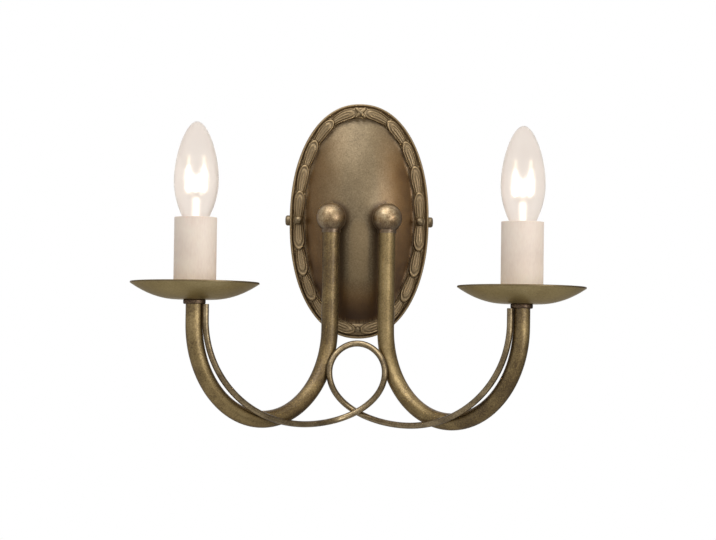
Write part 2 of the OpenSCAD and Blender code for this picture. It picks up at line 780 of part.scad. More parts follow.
// The thread is drawn as rounded rings, one for each turn
module bulb_cap(side) {
    root_r = cap_r - thread_depth;
    rings = [for (i = [0 : thread_turns - 1]) for (a = [20 : 35 : 160])
        [root_r + thread_depth * sin(a), thread_top_z - thread_turns * thread_pitch
                                         + thread_pitch * (i + 0.5 - 0.42 * cos(a))]];
    outside = concat([[root_r - 0.6, cap_bottom_z], [root_r, cap_bottom_z + 0.4]],
                     rings,
                     [[root_r, thread_top_z], [root_r + 0.2, thread_top_z + 1.5],
                      [skirt_r, neck_z - 0.2], [skirt_r, skirt_top_z]]);
    inside = [[neck_r + fit_gap, skirt_top_z], [neck_r + fit_gap, neck_z - 0.2],
              [root_r - cap_t, thread_top_z + 1.5], [root_r - cap_t, cap_bottom_z + 1],
              [3, cap_bottom_z + 1], [3, cap_bottom_z]];
    color(brass)
    at_candle(side) rotate_extrude() polygon(concat(outside, inside));
}

module bulb_insulator(side) {
    color([0.08, 0.08, 0.09])
    at_candle(side, contact_top_z) cylinder(r1 = 3.6, r2 = 5.2, h = insulator_h);
}

module bulb_contact(side) {
    color(steel)
    at_candle(side, contact_bottom_z) cylinder(r1 = 1.9, r2 = 2.5, h = contact_h);
}

module bulb_stem(side) {
    flare_r = neck_r - glass_t - fit_gap;
    color(clear_glass)
    at_candle(side) rotate_extrude()
        polygon([[0, neck_z], [flare_r, neck_z], [flare_r, neck_z + 0.6], [flare_r - 2, neck_z + 2.4],
                 [stem_r, neck_z + 6], [stem_r, stem_top_z - 1], [stem_r - 0.8, stem_top_z], [0, stem_top_z]]);
}

// Two leads rise from the stem and turn in to the filament's ends, and a support wire holds its middle
module bulb_leads(side) {
    lead_x = filament_x + filament_r + lead_r + 1;
    foot_z = stem_top_z + fit_gap;
    hook_x = filament_x + filament_r + fit_gap;
    hook_z = filament_top_z - 1;
    color(steel)
    at_candle(side) {
        for (end = [-1, 1])
            swept_tube([[end * lead_foot_x, 0, foot_z], [end * lead_foot_x, 0, foot_z + 1],
                        [end * lead_x, 0, lead_knee_z], [end * lead_x, 0, hook_z - 1],
                        [end * (lead_x - 0.3), 0, hook_z], [end * hook_x, 0, hook_z]], lead_r, wire_sides);
        translate([0, 0, foot_z]) cylinder(r = lead_r, h = filament_low_z - filament_r - fit_gap - foot_z);
    }
}

// The filament hangs from the leads in two legs and zigzags between them
module filament(side) {
    peak_x = filament_x / 2;
    color([1, 0.85, 0.5])
    at_candle(side)
        swept_tube([[-filament_x, 0, filament_top_z], [-filament_x, 0, filament_low_z + 1],
                    [-filament_x + 0.4, 0, filament_low_z], [-peak_x, 0, filament_peak_z],
                    [0, 0, filament_low_z], [peak_x, 0, filament_peak_z],
                    [filament_x - 0.4, 0, filament_low_z], [filament_x, 0, filament_low_z + 1],
                    [filament_x, 0, filament_top_z]], filament_r, wire_sides);
}

wall_bracket();
earth_screw();
backplate();
side_screw(-1);  // left_side_screw
side_screw(1);  // right_side_screw
terminal_block();
terminal_clamps();
terminal_screws();
block_fixings();
ball(-1);  // left_ball
ball_seat(-1);  // left_ball_seat
ball_nipple(-1);  // left_ball_nipple
lock_washer(-1);  // left_lock_washer
ball_nut(-1);  // left_ball_nut
arm(-1);  // left_arm
flex(-1);  // left_flex
ball(1);  // right_ball
ball_seat(1);  // right_ball_seat
ball_nipple(1);  // right_ball_nipple
lock_washer(1);  // right_lock_washer
ball_nut(1);  // right_ball_nut
arm(1);  // right_arm
flex(1);  // right_flex
scroll_rod();
collar(-1);  // left_collar
cup_nipple(-1);  // left_cup_nipple
drip_pan(-1);  // left_drip_pan
holder_base(-1);  // left_holder_base
holder_body(-1);  // left_holder_body
thread_sleeve(-1);  // left_thread_sleeve
centre_contact(-1);  // left_centre_contact
holder_terminals(-1);  // left_holder_terminals
candle_tube(-1);  // left_candle_tube
bulb_glass(-1);  // left_bulb_glass
bulb_cap(-1);  // left_bulb_cap
bulb_insulator(-1);  // left_bulb_insulator
bulb_contact(-1);  // left_bulb_contact
bulb_stem(-1);  // left_bulb_stem
bulb_leads(-1);  // left_bulb_leads
filament(-1);  // left_filament
collar(1);  // right_collar
cup_nipple(1);  // right_cup_nipple
drip_pan(1);  // right_drip_pan
holder_base(1);  // right_holder_base
holder_body(1);  // right_holder_body
thread_sleeve(1);  // right_thread_sleeve
centre_contact(1);  // right_centre_contact
holder_terminals(1);  // right_holder_terminals
candle_tube(1);  // right_candle_tube
bulb_glass(1);  // right_bulb_glass
bulb_cap(1);  // right_bulb_cap
bulb_insulator(1);  // right_bulb_insulator
bulb_contact(1);  // right_bulb_contact
bulb_stem(1);  // right_bulb_stem
bulb_leads(1);  // right_bulb_leads
filament(1);  // right_filament
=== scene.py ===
import math

import bmesh
import bpy
import numpy as np
from mathutils import Matrix, Vector


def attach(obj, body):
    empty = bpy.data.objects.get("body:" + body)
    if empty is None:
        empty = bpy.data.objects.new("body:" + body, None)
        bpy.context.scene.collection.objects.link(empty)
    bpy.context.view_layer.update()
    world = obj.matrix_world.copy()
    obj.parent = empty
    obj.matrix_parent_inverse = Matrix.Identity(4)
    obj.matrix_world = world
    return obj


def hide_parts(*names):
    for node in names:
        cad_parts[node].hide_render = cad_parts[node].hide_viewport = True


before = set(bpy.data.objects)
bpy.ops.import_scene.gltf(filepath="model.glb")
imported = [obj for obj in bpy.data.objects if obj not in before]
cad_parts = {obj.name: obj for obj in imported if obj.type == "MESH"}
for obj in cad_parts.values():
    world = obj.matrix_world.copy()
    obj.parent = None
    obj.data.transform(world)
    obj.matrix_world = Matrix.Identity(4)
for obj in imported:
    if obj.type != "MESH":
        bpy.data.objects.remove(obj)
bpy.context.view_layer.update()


# Wall bracket and earth screw
# A pressed steel strap with turned ears is screwed to the wall, and a brass screw earths it.
# Both are plain standard parts, so they keep their CAD shapes and get their own metals.

# Sizes in this file are in millimetres, and MM turns them into Blender's metres
MM = 0.001
sides = {"left": -1, "right": 1}


def hex_colour(code):
    """An sRGB hex colour as the linear colour that a shader takes."""
    parts = [int(code[i:i + 2], 16) / 255 for i in (1, 3, 5)]
    return tuple(p / 12.92 if p <= 0.04045 else ((p + 0.055) / 1.055) ** 2.4 for p in parts) + (1.0,)


def put(tree, kind, **given):
    """Adds a shader node. A lower case name is a setting, and a capital one is an input: a value, a node,
    a socket, or a list of these where several inputs share the name. Stops are those of a colour ramp."""
    node = tree.nodes.new("ShaderNode" + kind)
    for name, value in given.items():
        if name == "stops":
            colours = node.color_ramp.elements
            while len(colours) < len(value):
                colours.new(1)
            for stop, (position, code) in zip(colours, value):
                stop.position = position
                stop.color = hex_colour(code)
        elif name[0].islower():
            setattr(node, name, value)
    for name, value in given.items():
        if name[0].islower():
            continue
        sockets = [s for s in node.inputs if s.enabled and s.name == name.replace("_", " ")]
        for socket, entry in zip(sockets, value if isinstance(value, list) else [value]):
            if isinstance(entry, bpy.types.Node):
                entry = next(o for o in entry.outputs if o.enabled)
            if isinstance(entry, bpy.types.NodeSocket):
                tree.links.new(entry, socket)
            else:
                socket.default_value = entry
    return node


def new_finish(name):
    """An empty material, its node tree, and the place of each point on the piece in metres."""
    finish = bpy.data.materials.new(name)
    finish.use_nodes = True
    tree = finish.node_tree
    tree.nodes.clear()
    return finish, tree, put(tree, "TexCoord").outputs["Object"]


def dress(finish, *nodes):
    """Gives CAD nodes that keep their shape a better material."""
    for node in nodes:
        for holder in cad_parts[node].material_slots:
            holder.material = finish


def pair(*names):
    """The left and right node of each name."""
    return [f"{side}_{name}" for side in sides for name in names]


# Zinc plated steel: a cold pale grey with crystals of 3 mm that differ a little in shade and gloss
zinc_steel, tree, place = new_finish("Zinc plated steel, pressed")
crystals = put(tree, "TexVoronoi", Vector=place, Scale=1 / (3 * MM))
smears = put(tree, "TexNoise", Vector=place, Scale=1 / (14 * MM), Detail=4.0)
shade = put(tree, "ValToRGB", Fac=put(tree, "Mix", Factor=0.5, A=crystals.outputs["Distance"], B=smears),
            stops=[(0.25, "#8d9195"), (0.55, "#b2b5b6"), (0.8, "#c6c6c1")])
scuffs = put(tree, "Bump", Height=put(tree, "TexNoise", Vector=place, Scale=1 / (0.8 * MM), Detail=3.0),
             Strength=0.15, Distance=0.1 * MM)
put(tree, "OutputMaterial", Surface=put(
    tree, "BsdfPrincipled", Base_Color=shade, Metallic=1.0, Normal=scuffs,
    Roughness=put(tree, "MapRange", Value=smears, From_Min=0.3, From_Max=0.7, To_Min=0.3, To_Max=0.48)))
dress(zinc_steel, "wall_bracket", "terminal_screws", "block_fixings", *pair("lock_washer"))

# Turned brass, left bright: clean yellow, with fine rings from the tool and a little tarnish in patches
bright_brass, tree, place = new_finish("Brass, turned bright")
tarnish = put(tree, "TexNoise", Vector=place, Scale=1 / (9 * MM), Detail=5.0, Roughness=0.6)
shade = put(tree, "ValToRGB", Fac=tarnish, stops=[(0.3, "#8f7436"), (0.52, "#c9a75a"), (0.75, "#dcc078")])
rings = put(tree, "Bump", Height=put(tree, "TexWave", Vector=place, Scale=1 / (2.4 * MM), Distortion=0.6,
                                     bands_direction="Z"), Strength=0.12, Distance=0.05 * MM)
put(tree, "OutputMaterial", Surface=put(
    tree, "BsdfPrincipled", Base_Color=shade, Metallic=1.0, Normal=rings,
    Roughness=put(tree, "MapRange", Value=tarnish, From_Min=0.3, From_Max=0.7, To_Min=0.38, To_Max=0.24)))
dress(bright_brass, "earth_screw", "terminal_clamps",
      *pair("ball_nipple", "ball_nut", "cup_nipple", "thread_sleeve", "centre_contact", "holder_terminals"))


# Wall plate
# An oval dish cast in brass, with a border of overlapping leaves between four round beads, and crossed
# ribbons at the top. It is toned dark, waxed, and rubbed back on its ridges. Two bosses carry the balls.

plate_half_w = 56.75
plate_half_h = 95.75
fullness = 2.16
plate_t = 2.2
dome_depth = 27.0
groove_depth = 8.5
lip_w = 1.8
groove_w = 0.8
border_w = 9.4
band_in = lip_w + groove_w
band_mid_in = band_in + border_w / 2
band_half_w = plate_half_w - band_mid_in
band_half_h = plate_half_h - band_mid_in
field_in = band_in + border_w + groove_w
field_half_w = plate_half_w - field_in
field_half_h = plate_half_h - field_in
# From the groove over the rounded lip, down its side, round the foot and up the inside of the rim:
# how far in from the plate's edge, and how far from the wall
lip_profile = [(2.3, 8.7), (1.9, 9.0), (1.6, 9.25), (1.3, 9.42), (0.95, 9.5), (0.6, 9.42), (0.27, 9.2),
               (0.06, 8.85), (0, 8.4), (0, 6), (0, 3), (0, 0.4), (0.15, 0.1), (0.5, 0), (1.7, 0),
               (2.1, 0.15), (2.2, 0.6), (2.2, 6.4), (2.8, 7.4), (4.4, 8.2), (7.3, 8.6), (10, 7.6), (12, 6.9)]
leaves = 5
leaf_rise = 4.0
leaf_overlap = 3.0
leaf_widest = 0.62
first_tip = 24.3
last_tip_gap = 1.5
# Two small leaves show under each leaf: shift to one side, half width, how far back, and how far down
leaf_layers = [(2.3, 2.9, 2.4, 0.9), (-2.3, 2.9, 2.4, 0.9), (0, 4.7, 0, 0)]
side_bead_r = 3.5
end_bead_r = 2.5
bead_depth = groove_depth + leaf_rise * 0.9
ribbon_r = 1.7
ribbon_half = 5.9
ribbon_lean = 47
ball_x = 22.6
ball_z = 1.0
nipple_hole_r = 5.0
boss_r = 8.5
boss_back = 16.0
boss_front = 25.496
screw_hole_r = 2.15
screw_depth = 4.5
stations = 250
field_rings = 24
border_rings = 37
back_rings = 14


def make_piece(name, points, faces, finish, body, slot, replaced=(), crease=32):
    """A smooth shaded piece from points in millimetres, on its body and in the place of its CAD nodes."""
    mesh = bpy.data.meshes.new(name)
    mesh.from_pydata([tuple(MM * c for c in p) for p in points], [], faces)
    work = bmesh.new()
    work.from_mesh(mesh)
    bmesh.ops.recalc_face_normals(work, faces=work.faces)
    work.to_mesh(mesh)
    work.free()
    mesh.shade_smooth()
    mesh.set_sharp_from_angle(angle=math.radians(crease))
    mesh.materials.append(finish)
    piece = bpy.data.objects.new(name, mesh)
    bpy.context.scene.collection.objects.link(piece)
    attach(piece, body)
    if replaced:
        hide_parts(*replaced)
    return piece


def joined(*shells):
    """Several shells, each its points and faces, as one."""
    points, faces = [], []
    for shell_points, shell_faces in shells:
        faces += [tuple(i + len(points) for i in face) for face in shell_faces]
        points += list(shell_points)
    return points, faces


def turned(outline, steps, start=(0, 0, 0), along=(0, 0, 1)):
    """A shell turned round a line from start: the outline is a closed loop of radius and distance along."""
    axis = Vector(along).normalized()
    side = axis.orthogonal().normalized()
    other = axis.cross(side)
    points, loops, faces = [], [], []
    for r, h in outline:
        if r < 1e-6:
            loops.append([len(points)] * steps)
            points.append(Vector(start) + h * axis)
            continue
        loops.append(list(range(len(points), len(points) + steps)))
        for k in range(steps):
            turn = 2 * math.pi * k / steps
            points.append(Vector(start) + h * axis + r * (math.cos(turn) * side + math.sin(turn) * other))
    for i, loop in enumerate(loops):
        after = loops[(i + 1) % len(loops)]
        for k in range(steps):
            face = []
            for corner in (loop[k], loop[(k + 1) % steps], after[(k + 1) % steps], after[k]):
                if corner not in face:
                    face.append(corner)
            if len(face) > 2:
                faces.append(tuple(face))
    return points, faces


def softened(outline, steps=4):
    """A loop of corners, each a radius, a distance along and the size of its rounding, as a smooth loop."""
    smooth = []
    for i, (r, h, size) in enumerate(outline):
        here = Vector((r, h))
        before = Vector(outline[i - 1][:2]) - here
        after = Vector(outline[(i + 1) % len(outline)][:2]) - here
        size = min(size, before.length / 2, after.length / 2)
        if size <= 0:
            smooth.append((r, h))
            continue
        enter = here + before.normalized() * size
        leave = here + after.normalized() * size
        for k in range(steps + 1):
            t = k / steps
            bend = enter * (1 - t) ** 2 + here * 2 * t * (1 - t) + leave * t ** 2
            smooth.append((bend.x, bend.y))
    return smooth


def drawn_tube(path, radius, steps):
    """A round bar along a path, with no twist between its rings and a closed end at each end."""
    path = [Vector(p) for p in path]
    points, faces = [path[0]], []
    side = None
    for i, here in enumerate(path):
        ahead = (path[min(i + 1, len(path) - 1)] - path[max(i - 1, 0)]).normalized()
        side = ahead.orthogonal() if side is None else side
        side = (side - ahead * side.dot(ahead)).normalized()
        other = ahead.cross(side)
        r = radius(i / (len(path) - 1)) if callable(radius) else radius
        for k in range(steps):
            turn = 2 * math.pi * k / steps
            points.append(here + r * (math.cos(turn) * side + math.sin(turn) * other))
    last = len(points)
    points.append(path[-1])
    for k in range(steps):
        after = (k + 1) % steps
        faces.append((0, 1 + after, 1 + k))
        faces.append((last, last - steps + k, last - steps + after))
        for i in range(len(path) - 1):
            low = 1 + i * steps
            faces.append((low + k, low + after, low + steps + after, low + steps + k))
    return points, faces


def ramp(value, start, end):
    """0 up to the start, and evenly to 1 at the end."""
    return np.clip((value - start) / (end - start), 0, 1)


def rounded(value, middle, width):
    """A rounded ridge, 1 high in its middle."""
    return np.exp(-((value - middle) / width) ** 2)


def leaf_relief(run, across):
    """Height of the border over its groove, at a run from the side bead and a distance across the band.
    Each leaf is an almond with a raised outline and three veins, and its tip lies on the next leaf's foot."""
    crown = np.sqrt(np.clip(1 - (across / (border_w / 2)) ** 2, 0, 1))
    height = 0.38 * leaf_rise * crown ** 0.7
    length = leaf_pitch + leaf_overlap
    for k in range(leaves):
        tip = first_tip + k * leaf_pitch
        for shift, half, back, down in leaf_layers:
            # Share goes from 0 at the foot to 1 at the tip, and edge from 0 on the middle vein to 1 outside
            share = (run - (tip - back - length)) / length
            out = np.abs(across - shift)
            waist = 0.55 + 0.45 * np.sin(np.clip(share, 0.001, leaf_widest) / leaf_widest * math.pi / 2)
            point = np.hypot(out / half, np.clip((share - leaf_widest) / (1 - leaf_widest), 0, None))
            edge = np.where(share < leaf_widest, out / (half * waist), point)
            swell = 0.54 + 0.4 * np.clip(share / 0.7, 0, 1) ** 1.3
            inner = ramp(share, 0.9, 0.7)
            outline = 0.42 * rounded(edge, 0.86, 0.09)
            veins = inner * (0.3 * rounded(edge, 0, 0.12) + 0.26 * rounded(edge, 0.46, 0.11))
            channel = (0.35 + 0.65 * inner) * 0.42 * rounded(edge, 0.68, 0.11)
            body = leaf_rise * swell * crown ** 0.28 * (1 - 0.14 * edge ** 6)
            leaf = body + outline + veins - channel - down
            height = np.where((edge < 1) & (share > 0), np.maximum(height, leaf), height)
    return height


def oval(half_w, half_h, turn):
    """Points of the oval: an ellipse whose shoulders are filled out."""
    across, up = np.cos(turn), np.sin(turn)
    return (half_w * np.sign(across) * np.abs(across) ** (2 / fullness),
            half_h * np.sign(up) * np.abs(up) ** (2 / fullness))


def oval_share(across, up, half_w, half_h):
    """Under 1 inside the oval, 1 on it and over 1 outside it."""
    return (np.abs(across) / half_w) ** fullness + (np.abs(up) / half_h) ** fullness


def domed(shares, under=0.0):
    """Rings of the dome at shares of the way out from its middle, a thickness under its face."""
    return [(field_half_w * share, field_half_h * share,
             groove_depth - under + (dome_depth - groove_depth) * (1 - share ** 2)) for share in shares]


# Stations lie at even distances along the middle of the border, and each quarter mirrors the one before
quarter = np.linspace(0, math.pi / 2, 4001)
across, up = oval(band_half_w, band_half_h, quarter)
runs = np.concatenate([[0], np.cumsum(np.hypot(np.diff(across), np.diff(up)))])
leaf_pitch = (runs[-1] - last_tip_gap - first_tip) / (leaves - 1)
even = np.linspace(0, runs[-1], stations + 1)[:-1]
back_run = runs[-1] - even
turns = np.interp(even, runs, quarter)
back_turns = math.pi / 2 - np.interp(back_run, runs, quarter)
turns = np.concatenate([turns, math.pi / 2 + back_turns, math.pi + turns, 1.5 * math.pi + back_turns])
runs = np.concatenate([even, back_run, even, back_run])
rings = domed(np.linspace(0, 1, field_rings + 1)[1:])
for inset in np.linspace(band_in + border_w, band_in, border_rings):
    relief = leaf_relief(runs, np.full_like(runs, inset - band_mid_in))
    rings.append((plate_half_w - inset, plate_half_h - inset, groove_depth + relief))
rings += [(plate_half_w - inset, plate_half_h - inset, depth) for inset, depth in lip_profile]
rings += domed(np.linspace(1, 0, back_rings + 1)[:-1], plate_t)
around = len(turns)
points = [(0, -dome_depth, 0)]
for half_w, half_h, depth in rings:
    across, up = oval(half_w, half_h, turns)
    points += list(zip(across, np.broadcast_to(-depth, turns.shape), up))
points.append((0, -(dome_depth - plate_t), 0))
faces = [(0, 1 + k, 1 + (k + 1) % around) for k in range(around)]
for i in range(len(rings) - 1):
    low = 1 + i * around
    faces += [(low + k, low + around + k, low + around + (k + 1) % around, low + (k + 1) % around)
              for k in range(around)]
last = len(points) - 1
faces += [(last, last - around + (k + 1) % around, last - around + k) for k in range(around)]


def aged_bronze(name, tones, patch, roughness, edge_tint, rubbed="#a08a66", grain=1.0, clouds=0.4,
                painted_shade_span=None, gloss_coat=0.45, drift=0.0):
    """Toned and waxed brass: tones from dark to light in soft patches, dark specks of 1 mm and a fine grain.
    Where a mesh marks them, hollows keep a dark waxy patina, ridges are rubbed back and stains are red brown.
    The same marks also carry painted shadow and painted shade, in the dark patina colour and the darkest
    stain brown. A pair of heights in millimetres, given for a piece that keeps its CAD shape, darkens it with
    painted shade between them. Patch is the width of the soft patches and clouds their share, gloss coat is
    the clear waxing on top, and drift is how far the tone goes up and down along a tube."""
    finish, tree, place = new_finish(name)
    cloud = put(tree, "TexNoise", Vector=place, Scale=1 / (patch * MM), Detail=3.0, Roughness=0.55)
    # Real toning is finer than 1 mm: its grain is drawn at 1.3 mm so that it shows in the picture
    mottle = put(tree, "TexNoise", Vector=place, Scale=1 / (1.3 * MM * grain), Detail=4.0, Roughness=0.7)
    mixed = put(tree, "Mix", Factor=clouds, A=mottle, B=cloud)
    if drift:
        # The toning goes from light to dark and back along a tube, in 140 mm
        run = put(tree, "Math", operation="MULTIPLY",
                  Value=[put(tree, "SeparateXYZ", Vector=place).outputs["X"], 2 * math.pi / (140 * MM)])
        mixed = put(tree, "Math", operation="MULTIPLY_ADD",
                    Value=[put(tree, "Math", operation="SINE", Value=run), drift, mixed])
    toned = put(tree, "ValToRGB", Fac=mixed,
                stops=[(0.36, tones[0]), (0.47, tones[1]), (0.55, tones[2]), (0.66, tones[3])])
    speck = put(tree, "MapRange", From_Min=0.62, From_Max=0.7, To_Max=0.4,
                Value=put(tree, "TexNoise", Vector=place, Scale=1 / (0.9 * MM * grain), Detail=2.0))
    uneven = put(tree, "MapRange", From_Min=0.35, From_Max=0.65, To_Min=0.85, To_Max=1.08,
                 Value=put(tree, "TexNoise", Vector=place, Scale=1 / (11 * MM), Detail=3.0))
    stain = put(tree, "Math", operation="MULTIPLY",
                Value=[put(tree, "Attribute", attribute_name="stain").outputs["Fac"], uneven])
    warm = put(tree, "MapRange", Value=stain, From_Max=0.6, To_Max=0.7)
    # The darkest stain brown is partly painted shade, where the mark stands for the shaded foot and lower
    # flanks
    dark_stain_and_shade = put(tree, "MapRange", Value=stain, From_Min=0.45, From_Max=1.05, To_Max=0.7)
    # Painted shade: between two heights a piece that keeps its CAD shape darkens, as on a ball's lower half
    if painted_shade_span:
        height = put(tree, "SeparateXYZ", Vector=place).outputs["Z"]
        hollow = put(tree, "MapRange", Value=height, From_Min=painted_shade_span[0] * MM, From_Max=painted_shade_span[1] * MM,
                     To_Max=0.5)
    else:
        hollow = put(tree, "Attribute", attribute_name="hollow").outputs["Fac"]
    wax_and_shade = put(tree, "MapRange", Value=hollow, From_Min=0.08, From_Max=0.5, To_Max=0.65)
    ridge = put(tree, "MapRange", Value=hollow, From_Min=-0.05, From_Max=-0.4, To_Max=0.75)
    colour = toned
    for share, code in ((warm, "#7b5627"), (dark_stain_and_shade, "#2f1d15"), (speck, "#2b2118"), (wax_and_shade, "#422f1f"),
                        (ridge, rubbed)):
        colour = put(tree, "Mix", data_type="RGBA", Factor=share, A=colour, B=hex_colour(code))
    pits = put(tree, "Bump", Height=mottle, Strength=0.3, Distance=0.12 * MM)
    gloss = put(tree, "MapRange", Value=mixed, From_Min=0.35, From_Max=0.65,
                To_Min=roughness + 0.09, To_Max=roughness - 0.05)
    put(tree, "OutputMaterial", Surface=put(
        tree, "BsdfPrincipled", Base_Color=colour, Metallic=1.0, Normal=pits, Roughness=gloss,
        Specular_Tint=hex_colour(edge_tint), Coat_Weight=gloss_coat, Coat_Roughness=0.3))
    return finish


def vectors(mesh, kind):
    """The places or the normals of a mesh's points, a row for each."""
    values = np.zeros(len(mesh.vertices) * 3)
    mesh.vertices.foreach_get(kind, values)
    return values.reshape(-1, 3)


def mark(mesh, name, values):
    """Stores a value for each point, under a name that the material reads."""
    marks = mesh.attributes.get(name) or mesh.attributes.new(name, "FLOAT", "POINT")
    marks.data.foreach_set("value", values.astype(np.float32))


def mark_hollows(piece, smoothings=2):
    """Stores how far the surface dips in at each point: about 0.5 in a groove and below 0 on a ridge."""
    mesh = piece.data
    place, normal = vectors(mesh, "co"), vectors(mesh, "normal")
    ends = np.zeros(len(mesh.edges) * 2, int)
    mesh.edges.foreach_get("vertices", ends)
    a, b = ends.reshape(-1, 2).T
    gap = place[b] - place[a]
    length = np.linalg.norm(gap, axis=1) + 1e-9
    amount = np.zeros(len(place))
    shares = np.zeros(len(place))
    for end, way in ((a, 1), (b, -1)):
        np.add.at(amount, end, way * np.einsum("ij,ij->i", gap, normal[end]) / length)
        np.add.at(shares, end, 1)
    amount /= np.maximum(shares, 1)
    for _ in range(smoothings):
        spread = amount.copy()
        np.add.at(spread, a, amount[b])
        np.add.at(spread, b, amount[a])
        amount = spread / (shares + 1)
    mark(mesh, "hollow", amount * 2.5)


# Cast brass, toned and waxed: greyish tan on the crown, warm brown on the flanks, dark in the leaf grooves
plate_bronze = aged_bronze("Cast brass, aged bronze finish",
                           ("#66573f", "#736349", "#7e6d52", "#89795e"), patch=26, roughness=0.44,
                           edge_tint="#8f7d60", rubbed="#a08862", clouds=0.3)
plate = make_piece("plate", points, faces, plate_bronze, "lamp", "aged_bronze_plate", ["backplate"])
# The side screws pass through the rim and the ball nipples through the bosses
drills = joined(*[turned([(0, 30), (screw_hole_r, 30), (screw_hole_r, 60), (0, 60)], 40,
                         (0, -screw_depth, 0), (side, 0, 0)) for side in sides.values()],
                *[turned([(0, 5), (nipple_hole_r, 5), (nipple_hole_r, 40), (0, 40)], 48,
                         (side * ball_x, 0, ball_z), (0, -1, 0)) for side in sides.values()])
drill = make_piece("drill", *drills, plate_bronze, "lamp", "aged_bronze_plate")
cut = plate.modifiers.new("Drilled holes", "BOOLEAN")
cut.operation = "DIFFERENCE"
cut.solver = "EXACT"
cut.object = drill
drilled = bpy.data.meshes.new_from_object(plate.evaluated_get(bpy.context.evaluated_depsgraph_get()))
plate.modifiers.clear()
plate.data = drilled
drilled.name = "plate"
bpy.data.objects.remove(drill)
drilled.shade_smooth()
drilled.set_sharp_from_angle(angle=math.radians(50))
mark_hollows(plate)

# The cloth reaches the lip and the leaves. The field is made lighter down the strip between the arms. Painted
# shadow darkens it beside the arms and round the inner side of the balls, and painted shade darkens its foot,
# in the dark wax colour
lip_reach = 3.2
strip_half_w = 10
inner_shade_x = 14
outer_shade_x = 31.5
ball_shade_r = 13
foot_top_z = -46
foot_low_z = -76
across, _, up = vectors(drilled, "co").T / MM
out = np.abs(across)
facing = vectors(drilled, "normal")[:, 1] < 0
inside = facing & (oval_share(across, up, field_half_w, field_half_h) < 1)
near_lip = oval_share(across, up, plate_half_w - lip_reach, plate_half_h - lip_reach) > 1
under_ball = ramp(up, 4, -4)
# Painted shadow: the arms' shadows on the field, and the balls' shadows on their inner side
painted_arm_shadow = (rounded(out, inner_shade_x, 3) + 0.55 * rounded(out, outer_shade_x, 4)) * under_ball
painted_ball_shadow = rounded(np.hypot(out - ball_x, up - ball_z), ball_shade_r, 3) * (out < ball_x)
# Painted shade: the foot of the field darkens below the arms
foot = ramp(up, foot_top_z, foot_low_z)
lighter_strip = ramp(out, strip_half_w, strip_half_w - 3) * under_ball * (1 - foot)
painted_shade = np.maximum(np.maximum(painted_arm_shadow, painted_ball_shadow), foot)
worn = np.zeros(len(out), np.float32)
drilled.attributes["hollow"].data.foreach_get("value", worn)
# Painted shadow and shade are added to the field's real hollows, and the strip between the arms is made
# lighter
on_field = worn + 0.5 * painted_shade - 0.2 * lighter_strip
on_leaves = np.where(worn < 0.03, worn - 0.15, 0.55 * worn)
on_border = np.where(near_lip, np.minimum(worn, 0.02), on_leaves)
mark(drilled, "hollow", np.where(facing, np.where(inside, on_field, on_border), worn))

# Red brown stains lie on the flanks of the field; painted shade makes them heavier on the right and low down,
# and darkens all the foot
breadth = field_half_w * np.sqrt(np.clip(1 - (up / field_half_h) ** 2, 0.02, 1))
flank = ramp(out / breadth, 0.3, 0.9) * ramp(up, 80, 40)
stain = (0.48 + 0.27 * (across > 0) + 0.3 * ramp(up, 20, -40)) * flank + 0.95 * foot
mark(drilled, "stain", np.where(inside, np.clip(stain, 0, 1), 0.1))

beads = []
for x, z, r in ((band_half_w, 0, side_bead_r), (-band_half_w, 0, side_bead_r),
                (0, band_half_h, end_bead_r), (0, -band_half_h, end_bead_r)):
    dome = [(r * math.cos(math.radians(t)), r * math.sin(math.radians(t))) for t in range(-60, 90, 7)]
    beads.append(turned([(0, dome[0][1])] + dome + [(0, r)], 40, (x, -bead_depth, z), (0, -1, 0)))
for side in sides.values():
    lean = math.radians(ribbon_lean * side)
    path = [(math.sin(lean) * k, -(bead_depth + 0.6 - 0.02 * k * k), band_half_h + math.cos(lean) * k)
            for k in np.linspace(-ribbon_half, ribbon_half, 25)]
    beads.append(drawn_tube(path, lambda t: ribbon_r * max(0.12, 1 - abs(2 * t - 1) ** 5) ** 0.5, 16))
mark_hollows(make_piece("plate_beads", *joined(*beads), plate_bronze, "lamp", "aged_bronze_plate",
                        ["backplate"]), 0)
bosses = [turned(softened([(nipple_hole_r, boss_back, 0), (boss_r, boss_back, 0), (boss_r, boss_front, 0.5),
                           (nipple_hole_r, boss_front, 0)]), 64, (side * ball_x, 0, ball_z), (0, -1, 0))
          for side in sides.values()]
make_piece("plate_bosses", *joined(*bosses), plate_bronze, "lamp", "aged_bronze_plate", ["backplate"])


# Side screws
# A brass screw with a slotted drum head goes through each side of the plate into the bracket's ear.
# It is turned and toned like the plate, and keeps its CAD shape.

dress(plate_bronze, *pair("side_screw"))


# Terminal block
# A white plastic block on the bracket holds three brass clamps, their six steel screws and its fixings.
# The block is moulded, so it is smooth with a slight orange peel. All keep their CAD shapes.

# Moulded polyamide: a clean white, a little see-through at its edges, with flow marks 12 mm apart
white_plastic, tree, place = new_finish("Polyamide, moulded white")
flow = put(tree, "TexNoise", Vector=place, Scale=1 / (12 * MM), Detail=3.0)
shade = put(tree, "ValToRGB", Fac=flow, stops=[(0.3, "#dedbd0"), (0.55, "#eae8e0"), (0.8, "#f0eee9")])
peel = put(tree, "Bump", Height=put(tree, "TexNoise", Vector=place, Scale=1 / (0.9 * MM)), Strength=0.08,
           Distance=0.08 * MM)
put(tree, "OutputMaterial", Surface=put(
    tree, "BsdfPrincipled", Base_Color=shade, Normal=peel, IOR=1.53, Subsurface_Weight=0.08,
    Subsurface_Radius=(1.0, 0.9, 0.8), Subsurface_Scale=1.5 * MM,
    Roughness=put(tree, "MapRange", Value=flow, To_Min=0.34, To_Max=0.46)))
dress(white_plastic, "terminal_block", *pair("holder_base", "holder_body"))


